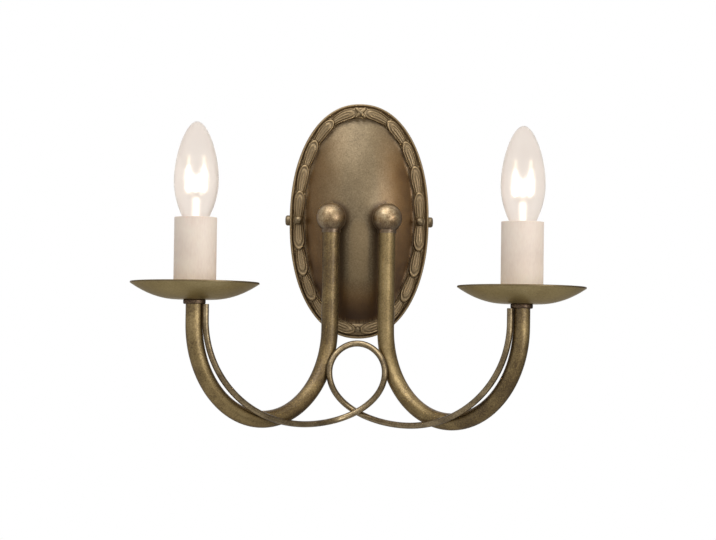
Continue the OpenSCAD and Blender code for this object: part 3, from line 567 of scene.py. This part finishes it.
# Balls and their seats
# Each arm leaves the plate at a hollow cast ball, which a threaded nipple, a washer and a nut clamp
# through its seat. The seat is toned like the plate, and the ball paler. They keep their CAD shapes.

# Cast brass ball, toned: a pale golden tan under a full gloss of wax, with painted shade darkening its lower
# half
ball_bronze = aged_bronze("Cast brass ball, aged bronze finish",
                          ("#5c452a", "#8b704b", "#a68e68", "#c2b08e"), patch=9, roughness=0.39,
                          edge_tint="#7a6340", grain=0.9, painted_shade_span=(1, -9), gloss_coat=1.0)
dress(ball_bronze, *pair("ball"))
dress(plate_bronze, *pair("ball_seat"))


# Arms
# Each arm is one brass tube, 13.6 mm across, bent half round in a plane turned 45 degrees from the wall.
# Drawn tube is smooth; the toning lies on it in long soft patches. The CAD bend is kept as it is.

# Drawn brass tube, toned: golden olive with brown patches, darker at its edges where it turns away
tube_bronze = aged_bronze("Drawn brass tube, aged bronze finish",
                          ("#5c4a30", "#7a6642", "#8e7950", "#a18b60"), patch=16, roughness=0.47,
                          edge_tint="#5f4e35", drift=0.06)
dress(tube_bronze, *pair("arm"))


# Flexes
# A sleeved flex goes from each side of the terminal block through its nipple and arm to the lampholder.
# It is a braided glass sleeve over two cores, 4.4 mm across, drawn as one round cord.

ball_depth = 38.896
bend_z = -88.5
bend_r = 74.0
bend_reach = 2 * bend_r * math.sqrt(0.5)
flex_r = 2.2
flex_top_z = -43.5
clamp_x = 8
wall_gap = 4.4


def bezier(corners, steps):
    """Points on a curve with four control points, its end left out."""
    a, b, c, d = [Vector(p) for p in corners]
    shares = [i / steps for i in range(steps)]
    return [(1 - t) ** 3 * a + 3 * (1 - t) ** 2 * t * b + 3 * (1 - t) * t * t * c + t ** 3 * d
            for t in shares]


# Braided glass sleeve: off white, with a weave of 0.8 mm strands at 45 degrees to the cord
glass_sleeve, tree, place = new_finish("Glass fibre sleeve, braided")
weave = put(tree, "TexWave", Vector=place, Scale=1 / (5 * MM), bands_direction="DIAGONAL", Distortion=1.2,
            Detail=2.0)
soil = put(tree, "TexNoise", Vector=place, Scale=1 / (7 * MM), Detail=3.0)
shade = put(tree, "ValToRGB", Fac=put(tree, "Mix", Factor=0.45, A=weave, B=soil),
            stops=[(0.2, "#b9b3a2"), (0.5, "#d8d4c6"), (0.8, "#e6e3da")])
strands = put(tree, "Bump", Height=weave, Strength=0.5, Distance=0.15 * MM)
put(tree, "OutputMaterial", Surface=put(
    tree, "BsdfPrincipled", Base_Color=shade, Normal=strands, IOR=1.5,
    Roughness=put(tree, "MapRange", Value=weave, To_Min=0.7, To_Max=0.85)))
for name, side in sides.items():
    x = side * ball_x
    # Up out of the clamp, down behind the nut and into its nipple, and out of it down into the arm
    route = bezier([(side * clamp_x, -6, 8.3), (side * clamp_x, -6, 24), (x, -wall_gap, 28),
                    (x, -wall_gap, 9)], 16)
    route += bezier([(x, -wall_gap, 9), (x, -wall_gap, 4.6), (x, -7.8, ball_z), (x, -12, ball_z)], 10)
    route += bezier([(x, 8 - ball_depth, ball_z), (x, 3 - ball_depth, ball_z), (x, -ball_depth, -2),
                     (x, -ball_depth, -7)], 10)
    # Half round the arm's bend, and up to the lampholder
    for i in range(41):
        turn = math.pi * i / 40
        out = bend_r * (1 - math.cos(turn)) * math.sqrt(0.5)
        route.append(Vector((side * (ball_x + out), -(ball_depth + out), bend_z - bend_r * math.sin(turn))))
    route.append(Vector((side * (ball_x + bend_reach), -(ball_depth + bend_reach), flex_top_z)))
    make_piece(f"{name}_flex_sleeve", *drawn_tube(route, flex_r, 16), glass_sleeve, "lamp", "flex_sleeve",
               [f"{name}_flex"])


# Scrolled rod
# One brass rod, 5 mm across, runs from pan to pan in front of the arms, crosses itself and makes a loop.
# It is bent cold and brazed to the arms. The toning catches light on its upper edge.

rod_r = 2.5
rod_gap = 9.35
rod_part = 2.55
rod_end_x = 118.17
rod_top_z = -73.6
rod_knee_z = -85.0
low_x = 42.0
low_z = -166.0
loop_half_w = 22.3
loop_side_z = -123.7
loop_top_z = -100.5


def rod_depth(x):
    """Depth of the rod: along the arm's plane outside the loop, and rounded off inside it."""
    plane = ball_depth - ball_x + rod_gap * math.sqrt(2)
    return plane + (abs(x) if abs(x) > loop_half_w else loop_half_w / 2 + x * x / (2 * loop_half_w))


def rod_half(side):
    """Half of the rod, from its end under a pan to just before the top of the loop."""
    outer = bezier([(rod_end_x, 0, rod_knee_z), (rod_end_x, 0, rod_knee_z + 0.54 * (low_z - rod_knee_z)),
                    (low_x + 0.58 * (rod_end_x - low_x), 0, low_z), (low_x, 0, low_z)], 54)
    inner = bezier([(low_x, 0, low_z), (low_x - 0.455 * (low_x + loop_half_w), 0, low_z),
                    (-loop_half_w, 0, loop_side_z - 0.63 * (loop_side_z - low_z)),
                    (-loop_half_w, 0, loop_side_z)], 50)
    over = bezier([(-loop_half_w, 0, loop_side_z),
                   (-loop_half_w, 0, loop_side_z + 0.53 * (loop_top_z - loop_side_z)),
                   (-0.55 * loop_half_w, 0, loop_top_z), (0, 0, loop_top_z)], 26)
    upper = [Vector((rod_end_x, 0, rod_top_z + (rod_knee_z - rod_top_z) * i / 5)) for i in range(5)] + outer
    half = []
    for i, p in enumerate(upper + inner + over):
        # Where the halves cross, one passes behind the other
        crosses = len(upper) <= i < len(upper + inner) and abs(p.x) < loop_half_w
        aside = side * rod_part * math.cos(math.pi / 2 * p.x / loop_half_w) ** 2 if crosses else 0
        half.append(Vector((side * p.x, -rod_depth(p.x) + aside, p.z)))
    return half


# Brass rod, toned: paler and glossier than the tube, with short brown patches
rod_bronze = aged_bronze("Drawn brass rod, aged bronze finish",
                         ("#56452d", "#7c6947", "#96825f", "#ac9a77"), patch=12, roughness=0.34,
                         edge_tint="#54442f", grain=0.85, gloss_coat=0.9)
rod_path = rod_half(-1) + [Vector((0, -rod_depth(0), loop_top_z))] + rod_half(1)[::-1]
make_piece("rod", *drawn_tube(rod_path, rod_r, 24), rod_bronze, "lamp", "aged_bronze_tube", ["scroll_rod"],
           crease=60)


# Collars and drip pans
# A turned brass collar sits on the arm's end and carries a pan, spun from 1.2 mm brass sheet.
# The pan rises in a curve to a rounded rim. A threaded nipple holds both, under the lampholder.

candle_x = 127.252
candle_depth = 143.548
nipple_r = 5.0
collar_r = 8.8
collar_low_z = -73.6
pan_z = -69.9
pan_r = 50.5
pan_floor_r = 18.0
pan_rise = 12.4
pan_t = 1.2

# Spun brass sheet, toned: a smooth olive gold that hardly varies, with few specks
pan_bronze = aged_bronze("Spun brass, aged bronze finish",
                         ("#97845a", "#a49266", "#ae9c70", "#b9a87e"), patch=30, roughness=0.42,
                         edge_tint="#948463", rubbed="#b7a476", grain=1.2, clouds=0.5)
# Turned brass, toned nearly black brown, under the pans
collar_bronze = aged_bronze("Turned brass, dark bronze finish",
                            ("#33251a", "#4d3a29", "#64503a", "#78644b"), patch=10, roughness=0.4,
                            edge_tint="#54432f", rubbed="#8f7a5e", grain=0.9)
under = [(nipple_r, 0)]
for i in range(40):
    share = i / 40
    under.append((pan_floor_r + (pan_r - pan_floor_r) * share,
                  pan_rise * (0.25 * share + share ** 2) / 1.25))
rim = [(pan_r - 0.22, pan_rise - 0.28), (pan_r - 0.02, pan_rise + 0.1), (pan_r, pan_rise + 0.6),
       (pan_r - 0.1, pan_rise + 0.95), (pan_r - 0.4, pan_rise + 1.17), (pan_r - 0.75, pan_rise + 1.08)]
pan_outline = under + rim + [(r, h + pan_t) for r, h in reversed(under)]
for name, side in sides.items():
    foot = (side * candle_x, -candle_depth, 0)
    ring = softened([(nipple_r, collar_low_z, 0.2), (collar_r - 0.5, collar_low_z, 0.3),
                     (collar_r, collar_low_z + 0.7, 0.3), (collar_r, pan_z - 0.6, 0.3),
                     (collar_r - 0.5, pan_z, 0.3), (nipple_r, pan_z, 0.2)])
    make_piece(f"{name}_pan_collar", *turned(ring, 64, foot), collar_bronze, "lamp", "aged_bronze_tube",
               [f"{name}_collar"])
    shell = turned(pan_outline, 144, (foot[0], foot[1], pan_z))
    pan = make_piece(f"{name}_pan", *shell, pan_bronze, "lamp", "aged_bronze_pan", [f"{name}_drip_pan"])
    # Painted shade darkens the rolled rim, in the dark wax colour
    on_rim = vectors(pan.data, "co")[:, 2] > (pan_z + pan_rise) * MM
    mark(pan.data, "hollow", 0.5 * on_rim)


# Candle tubes
# A sleeve of ivory card, 33.3 mm across, slides over the lampholder's ribs and stands on the pan.
# It hides the holder. Its wall is 0.9 mm thick, with slightly rounded edges.

floor_z = -68.7
candle_r = 16.65
candle_t = 0.9
candle_top_z = -6.0

# Lacquered ivory card: a warm cream, pinker and yellower in soft patches, with a faint vertical grain
ivory_card, tree, place = new_finish("Card tube, ivory lacquer")
stretched = put(tree, "Mapping", Vector=place, Scale=(1.0, 1.0, 0.25))
patches = put(tree, "TexNoise", Vector=place, Scale=1 / (22 * MM), Detail=3.0)
fibres = put(tree, "TexNoise", Vector=stretched, Scale=1 / (1.2 * MM), Detail=3.0)
shade = put(tree, "ValToRGB", Fac=put(tree, "Mix", Factor=0.3, A=patches, B=fibres),
            stops=[(0.34, "#dac8ba"), (0.5, "#e3d3c5"), (0.66, "#e8dbcc")])
tooth = put(tree, "Bump", Height=fibres, Strength=0.15, Distance=0.08 * MM)
put(tree, "OutputMaterial", Surface=put(
    tree, "BsdfPrincipled", Base_Color=shade, Normal=tooth, IOR=1.48, Subsurface_Weight=0.1,
    Subsurface_Radius=(1.0, 0.7, 0.5), Subsurface_Scale=1.2 * MM,
    Roughness=put(tree, "MapRange", Value=fibres, To_Min=0.44, To_Max=0.58)))
for name, side in sides.items():
    wall = softened([(candle_r - candle_t, floor_z, 0.1), (candle_r, floor_z, 0.25),
                     (candle_r, candle_top_z, 0.4), (candle_r - candle_t, candle_top_z, 0.25)])
    make_piece(f"{name}_sleeve", *turned(wall, 96, (side * candle_x, -candle_depth, 0)), ivory_card,
               f"{name}_candle", "ivory_candle", [f"{name}_candle_tube"])


# Bulb caps
# The cap is pressed from thin brass sheet, with a rolled screw thread. Black glass at its end carries
# the centre contact, a drop of solder. The cap is cemented to the neck of the glass.

cap_root_r = 6.35
cap_foot_z = -32.0
thread_depth = 0.55
thread_pitch = 2.82
thread_top_z = -17.4
thread_low_z = -31.6
thread_fade = 1.4
# Radius and height: from the thread out round the glass, down inside the cap, and under its foot
cap_profile = [(6.35, -17.0), (6.5, -16.2), (6.9, -14.8), (7.45, -13.9), (7.6, -13.4), (7.6, -12.3),
               (7.5, -12.02), (7.25, -12), (7.25, -13.6), (6.6, -14.6), (5.95, -15.9), (5.95, -30.9),
               (3.05, -30.9), (3, -31.9), (3.2, cap_foot_z), (5.6, cap_foot_z), (6.1, -31.9)]
solder_profile = [(0, -34.4), (2.5, -34.4), (2.45, -34.6), (2.2, -34.9), (1.7, -35.1), (0.9, -35.19),
                  (0, -35.2)]

# Pressed cap brass, lacquered: pale yellow, with dull bands where the thread was rolled
cap_brass, tree, place = new_finish("Brass sheet, pressed and lacquered")
dull = put(tree, "TexNoise", Vector=place, Scale=1 / (5 * MM), Detail=4.0)
shade = put(tree, "ValToRGB", Fac=dull, stops=[(0.3, "#a58a4a"), (0.55, "#cdb26b"), (0.8, "#dbc587")])
dents = put(tree, "Bump", Height=dull, Strength=0.15, Distance=0.1 * MM)
put(tree, "OutputMaterial", Surface=put(
    tree, "BsdfPrincipled", Base_Color=shade, Metallic=1.0, Normal=dents,
    Roughness=put(tree, "MapRange", Value=dull, To_Min=0.22, To_Max=0.42)))

# Black glass, moulded into the cap: glossy, with a few fine bubbles of 0.6 mm
black_glass, tree, place = new_finish("Black glass, moulded")
bubbles = put(tree, "TexVoronoi", Vector=place, Scale=1 / (0.6 * MM))
shade = put(tree, "ValToRGB", Fac=bubbles, stops=[(0.1, "#2a2a30"), (0.5, "#141418")])
put(tree, "OutputMaterial", Surface=put(
    tree, "BsdfPrincipled", Base_Color=shade, IOR=1.55,
    Normal=put(tree, "Bump", Height=bubbles, Strength=0.1, Distance=0.05 * MM),
    Roughness=put(tree, "MapRange", Value=bubbles, To_Min=0.12, To_Max=0.2)))

# Tin solder: soft grey, frozen in ripples of about 1 mm
solder, tree, place = new_finish("Tin solder, dripped")
ripple = put(tree, "TexNoise", Vector=place, Scale=1 / (1 * MM), Detail=2.0)
shade = put(tree, "ValToRGB", Fac=ripple, stops=[(0.3, "#8c8d8f"), (0.7, "#b8b9b9")])
put(tree, "OutputMaterial", Surface=put(
    tree, "BsdfPrincipled", Base_Color=shade, Metallic=1.0,
    Normal=put(tree, "Bump", Height=ripple, Strength=0.4, Distance=0.1 * MM),
    Roughness=put(tree, "MapRange", Value=ripple, To_Min=0.3, To_Max=0.5)))

dress(black_glass, *pair("bulb_insulator"))
for name, side in sides.items():
    # The rolled thread is a true screw: its crest climbs one pitch in each turn
    points, faces, rows, around = [], [], 110, 72
    for i in range(rows + 1):
        z = thread_low_z + (thread_top_z - thread_low_z) * i / rows
        fade = min(1, (z - thread_low_z) / thread_fade, (thread_top_z - z) / thread_fade)
        for k in range(around):
            wave = 0.5 + 0.5 * math.cos(2 * math.pi * ((z - thread_top_z) / thread_pitch - k / around))
            points.append((cap_root_r + thread_depth * fade * wave ** 0.8, z, 2 * math.pi * k / around))
    for r, z in cap_profile:
        points += [(r, z, 2 * math.pi * k / around) for k in range(around)]
    loops = len(points) // around
    for i in range(loops):
        low, up = i * around, (i + 1) % loops * around
        faces += [(low + k, low + (k + 1) % around, up + (k + 1) % around, up + k) for k in range(around)]
    points = [(side * candle_x + r * math.cos(a), -candle_depth + r * math.sin(a), z) for r, z, a in points]
    make_piece(f"{name}_cap", points, faces, cap_brass, f"{name}_bulb", "bulb_cap_brass",
               [f"{name}_bulb_cap"], crease=40)
    make_piece(f"{name}_solder_drop", *turned(solder_profile, 32, (side * candle_x, -candle_depth, 0)),
               solder, f"{name}_bulb", "solder", [f"{name}_bulb_contact"])


# Bulbs
# A clear candle bulb, blown from soda glass: a 0.7 mm shell, a stem with two leads and a support wire,
# and a coiled tungsten filament in two legs with a zigzag between them. The bulbs are lit.

bulb_r = 17.5
bulb_wide_z = 22.6
bulb_tip_z = 68.8
neck_r = 7.2
neck_z = -13.4
skirt_top_z = -12.0
glass_t = 0.7
stem_top_z = 9.0
lead_r = 0.35
lead_x = 7.8
coil_r = 0.7
coil_pitch = 1.0
tungsten_r = 0.28
leg_x = 6.0
leg_top_z = 42.0
hook_z = 15.2
zigzag_z = 26.0

# Blown soda glass, lit from inside: a faint peach cream veil, and a soft blur over what is behind it. Its
# IOR is low and its roughness high, because the glow of the coil softens the edges of the real one
clear_glass, tree, place = new_finish("Soda glass, blown clear")
waves = put(tree, "TexNoise", Vector=place, Scale=1 / (18 * MM), Detail=2.0)
tint = put(tree, "ValToRGB", Fac=waves, stops=[(0.35, "#f4eee9"), (0.65, "#f7f2ed")])
put(tree, "OutputMaterial", Surface=put(
    tree, "BsdfPrincipled", Base_Color=tint, Transmission_Weight=1.0, IOR=1.12, Roughness=0.6,
    Normal=put(tree, "Bump", Height=waves, Strength=0.05, Distance=0.3 * MM)))

# Pressed glass stem: milky white, with faint waves from the press 6 mm apart, and its emission a painted glow
# for the coil's light falling on it from above
stem_glass, tree, place = new_finish("Soda glass, pressed stem")
press = put(tree, "TexNoise", Vector=place, Scale=1 / (6 * MM), Detail=2.0)
milk = put(tree, "ValToRGB", Fac=press, stops=[(0.3, "#f2ede6"), (0.7, "#f8f5f0")])
put(tree, "OutputMaterial", Surface=put(
    tree, "BsdfPrincipled", Base_Color=milk, Transmission_Weight=0.4, IOR=1.5, Roughness=0.4,
    Normal=put(tree, "Bump", Height=press, Strength=0.1, Distance=0.2 * MM),
    Emission_Color=hex_colour("#fffaf4"), Emission_Strength=0.5))

# Nickel plated wire: a warm grey, drawn smooth, with faint heat colours 4 mm long
nickel_wire, tree, place = new_finish("Nickel plated wire")
heat = put(tree, "TexNoise", Vector=place, Scale=1 / (4 * MM), Detail=2.0)
shade = put(tree, "ValToRGB", Fac=heat, stops=[(0.3, "#bdb6a9"), (0.7, "#d9d4ca")])
put(tree, "OutputMaterial", Surface=put(
    tree, "BsdfPrincipled", Base_Color=shade, Metallic=1.0,
    Normal=put(tree, "Bump", Height=heat, Strength=0.1, Distance=0.05 * MM),
    Roughness=put(tree, "MapRange", Value=heat, To_Min=0.28, To_Max=0.42)))

# Tungsten coil at white heat: a warm white light, which falls off up the legs where the leads cool them
hot_tungsten, tree, place = new_finish("Tungsten coil, white hot")
spots = put(tree, "TexNoise", Vector=place, Scale=1 / (3 * MM), Detail=2.0)
height = put(tree, "SeparateXYZ", Vector=place).outputs["Z"]
glow = put(tree, "Mix", Factor=put(tree, "MapRange", Value=height, From_Min=20 * MM, From_Max=35 * MM),
           A=put(tree, "MapRange", Value=spots, From_Min=0.3, From_Max=0.7, To_Min=16.0, To_Max=24.0), B=1.5)
put(tree, "OutputMaterial", Surface=put(
    tree, "BsdfPrincipled", Base_Color=put(tree, "ValToRGB", Fac=spots,
                                           stops=[(0.3, "#5a4c3c"), (0.7, "#6e6252")]),
    Metallic=1.0, Roughness=0.4, Emission_Color=hex_colour("#fff8ea"), Emission_Strength=glow))


def glass_outline(inset, steps=44):
    """Outline of the glass from its neck out to its widest and in to its tip, drawn in by an inset."""
    swell = bulb_wide_z - skirt_top_z
    narrow = bulb_tip_z - bulb_wide_z
    below = bezier([(neck_r - inset, skirt_top_z, 0), (neck_r * 1.46 - inset, skirt_top_z + swell * 0.17, 0),
                    (bulb_r - inset, bulb_wide_z - swell * 0.464, 0), (bulb_r - inset, bulb_wide_z, 0)],
                   steps)
    above = bezier([(bulb_r - inset, bulb_wide_z, 0), (bulb_r - inset, bulb_wide_z + narrow * 0.44, 0),
                    (bulb_r * 0.5 - inset, bulb_tip_z - inset, 0), (0, bulb_tip_z - inset, 0)], steps)
    return [(neck_r - inset, neck_z)] + [(p.x, p.y) for p in below + above] + [(0, bulb_tip_z - inset)]


def coil_round(path, radius, pitch, steps=12):
    """A helix round a path of straight runs, with its turns a pitch apart."""
    path = [Vector(p) for p in path]
    lengths = [(b - a).length for a, b in zip(path, path[1:])]
    total = sum(lengths)
    count = int(total / pitch * steps)
    coil = []
    for i in range(count + 1):
        run, leg = total * i / count, 0
        while leg < len(lengths) - 1 and run > lengths[leg]:
            run -= lengths[leg]
            leg += 1
        ahead = (path[leg + 1] - path[leg]).normalized()
        side = Vector((0, 1, 0))
        turn = 2 * math.pi * i / steps
        off = math.cos(turn) * side + math.sin(turn) * ahead.cross(side)
        coil.append(path[leg] + run * ahead + radius * off)
    return coil


for name, side in sides.items():
    foot = Vector((side * candle_x, -candle_depth, 0))
    shell = turned(glass_outline(0) + glass_outline(glass_t)[::-1], 120, foot)
    make_piece(f"{name}_glass", *shell, clear_glass, f"{name}_bulb", "clear_glass",
               [f"{name}_bulb_glass"], crease=50)
    stem = softened([(0, neck_z, 0), (6.4, neck_z, 0.3), (6.4, -12.7, 0.3), (4.3, -10.9, 1.5),
                     (2.6, -7.4, 2), (2.5, 3, 1), (2.6, stem_top_z - 1, 0.4), (1.8, stem_top_z, 0.4),
                     (0, stem_top_z, 0)], 6)
    make_piece(f"{name}_stem", *turned(stem, 48, foot), stem_glass, f"{name}_bulb", "clear_glass",
               [f"{name}_bulb_stem"])
    # Each lead leaves the stem, spreads, rises and turns in to its leg. A support holds up the zigzag
    routes = [[(end, 0, stem_top_z + 0.05), (end, 0, stem_top_z + 1.05), (end * lead_x, 0, 13.6),
               (end * lead_x, 0, 40), (end * (lead_x - 0.3), 0, 40.8),
               (end * (leg_x + 0.4), 0, leg_top_z - 1)] for end in sides.values()]
    routes.append([(0, 0, z) for z in (stem_top_z + 0.05, 11, 13, hook_z - 0.5)])
    wires = [drawn_tube([foot + Vector(p) for p in route], lead_r, 12) for route in routes]
    make_piece(f"{name}_leads", *joined(*wires), nickel_wire, f"{name}_bulb", "nickel_wire",
               [f"{name}_bulb_leads"])
    leg = [(leg_x, 0, leg_top_z), (leg_x, 0, hook_z + 1), (leg_x - 0.4, 0, hook_z), (leg_x / 2, 0, zigzag_z)]
    zigzag = [(-x, y, z) for x, y, z in leg] + [(0, 0, hook_z)] + leg[::-1]
    coil = coil_round([foot + Vector(p) for p in zigzag], coil_r, coil_pitch)
    make_piece(f"{name}_coil", *drawn_tube(coil, tungsten_r, 6), hot_tungsten, f"{name}_bulb",
               "hot_filament", [f"{name}_filament"])


# Floor, light and camera
# The lamp hangs 2.5 m over a plain pale floor, in a studio that is white where the camera, metal or glass
# looks at it. One soft light hangs above at the left, and a larger one stands in front at the right.

# The studio's own sizes are in metres
floor_drop = 2.5
floor_half = 15
board_out = 1.3
lamp_middle = (0, -0.09, -0.04)

# Plain paper floor: nearly white, with a faint unevenness 200 mm across
floor_paper, tree, place = new_finish("Paper floor")
uneven = put(tree, "TexNoise", Vector=place, Scale=1 / (200 * MM))
put(tree, "OutputMaterial", Surface=put(
    tree, "BsdfPrincipled", Roughness=0.9,
    Base_Color=put(tree, "ValToRGB", Fac=uneven, stops=[(0.3, "#e4e2de"), (0.7, "#e9e7e3")])))


def flat_board(name, corners, finish):
    """A flat board with four corners in metres."""
    mesh = bpy.data.meshes.new(name)
    mesh.from_pydata(corners, [], [(0, 1, 2, 3)])
    mesh.materials.append(finish)
    board = bpy.data.objects.new(name, mesh)
    bpy.context.scene.collection.objects.link(board)
    return board


floor = flat_board("floor", [(x * floor_half, y * floor_half, -floor_drop)
                             for x, y in ((-1, -1), (1, -1), (1, 1), (-1, 1))], floor_paper)

room = bpy.data.worlds.new("White studio")
bpy.context.scene.world = room
room.use_nodes = True
tree = room.node_tree
tree.nodes.clear()
path = put(tree, "LightPath").outputs
seen = put(tree, "Math", operation="ADD", Value=[path["Is Camera Ray"], path["Is Glossy Ray"]])
seen = put(tree, "Math", operation="ADD", use_clamp=True, Value=[seen, path["Is Transmission Ray"]])
put(tree, "OutputWorld", Surface=put(
    tree, "Background", Color=(1, 1, 1, 1),
    Strength=put(tree, "MapRange", Value=seen, To_Min=0.57, To_Max=1.0)))


def soft_light(name, place, size, power):
    """A square soft light that faces the lamp."""
    panel = bpy.data.lights.new(name, "AREA")
    panel.size = size
    panel.energy = power
    light = bpy.data.objects.new(name, panel)
    aim = (Vector(lamp_middle) - Vector(place)).to_track_quat("-Z", "Y")
    light.matrix_world = Matrix.Translation(place) @ aim.to_matrix().to_4x4()
    bpy.context.scene.collection.objects.link(light)


soft_light("overhead", (-0.35, -0.9, 1.5), 1.4, 16)
soft_light("front", (1.8, -1.8, 0.1), 1.9, 30)

# A grey board stands at each side, as in a picture studio. Only reflections show it, so that metal darkens
# where it turns away
for name, grey in (("left", "#cfcfcf"), ("right", "#939393")):
    board_grey, tree, place = new_finish("Grey board")
    put(tree, "OutputMaterial", Surface=put(tree, "Emission", Color=hex_colour(grey)))
    corners = [(sides[name] * board_out, y, z)
               for y, z in ((-1.0, -1.6), (2.2, -1.6), (2.2, 1.2), (-1.0, 1.2))]
    board = flat_board(f"board_{name}", corners, board_grey)
    board.visible_camera = board.visible_diffuse = board.visible_transmission = board.visible_shadow = False

bpy.context.scene.view_settings.view_transform = "Standard"

# The camera stands 2.9 m in front of the wall and level with the lamp's foot. It looks up a little and is
# turned a little about its line of sight
camera_place = (-0.4 * MM, -2926.4 * MM, -158.1 * MM)
pitch = math.radians(2.32)
roll = math.radians(0.8)
ahead = Vector((0, math.cos(pitch), math.sin(pitch)))
right = Vector((1, 0, 0))
right = math.cos(roll) * right + math.sin(roll) * right.cross(ahead)
above = right.cross(ahead)
lens = bpy.data.cameras.new("camera")
lens.lens = 180
lens.sensor_width = 36
lens.sensor_fit = "HORIZONTAL"
lens.clip_start = 0.05
lens.clip_end = 100
camera = bpy.data.objects.new("camera", lens)
bpy.context.scene.collection.objects.link(camera)
camera.matrix_world = (Matrix.Translation(camera_place)
                       @ Matrix((right, above, -ahead)).transposed().to_4x4())
bpy.context.scene.camera = camera
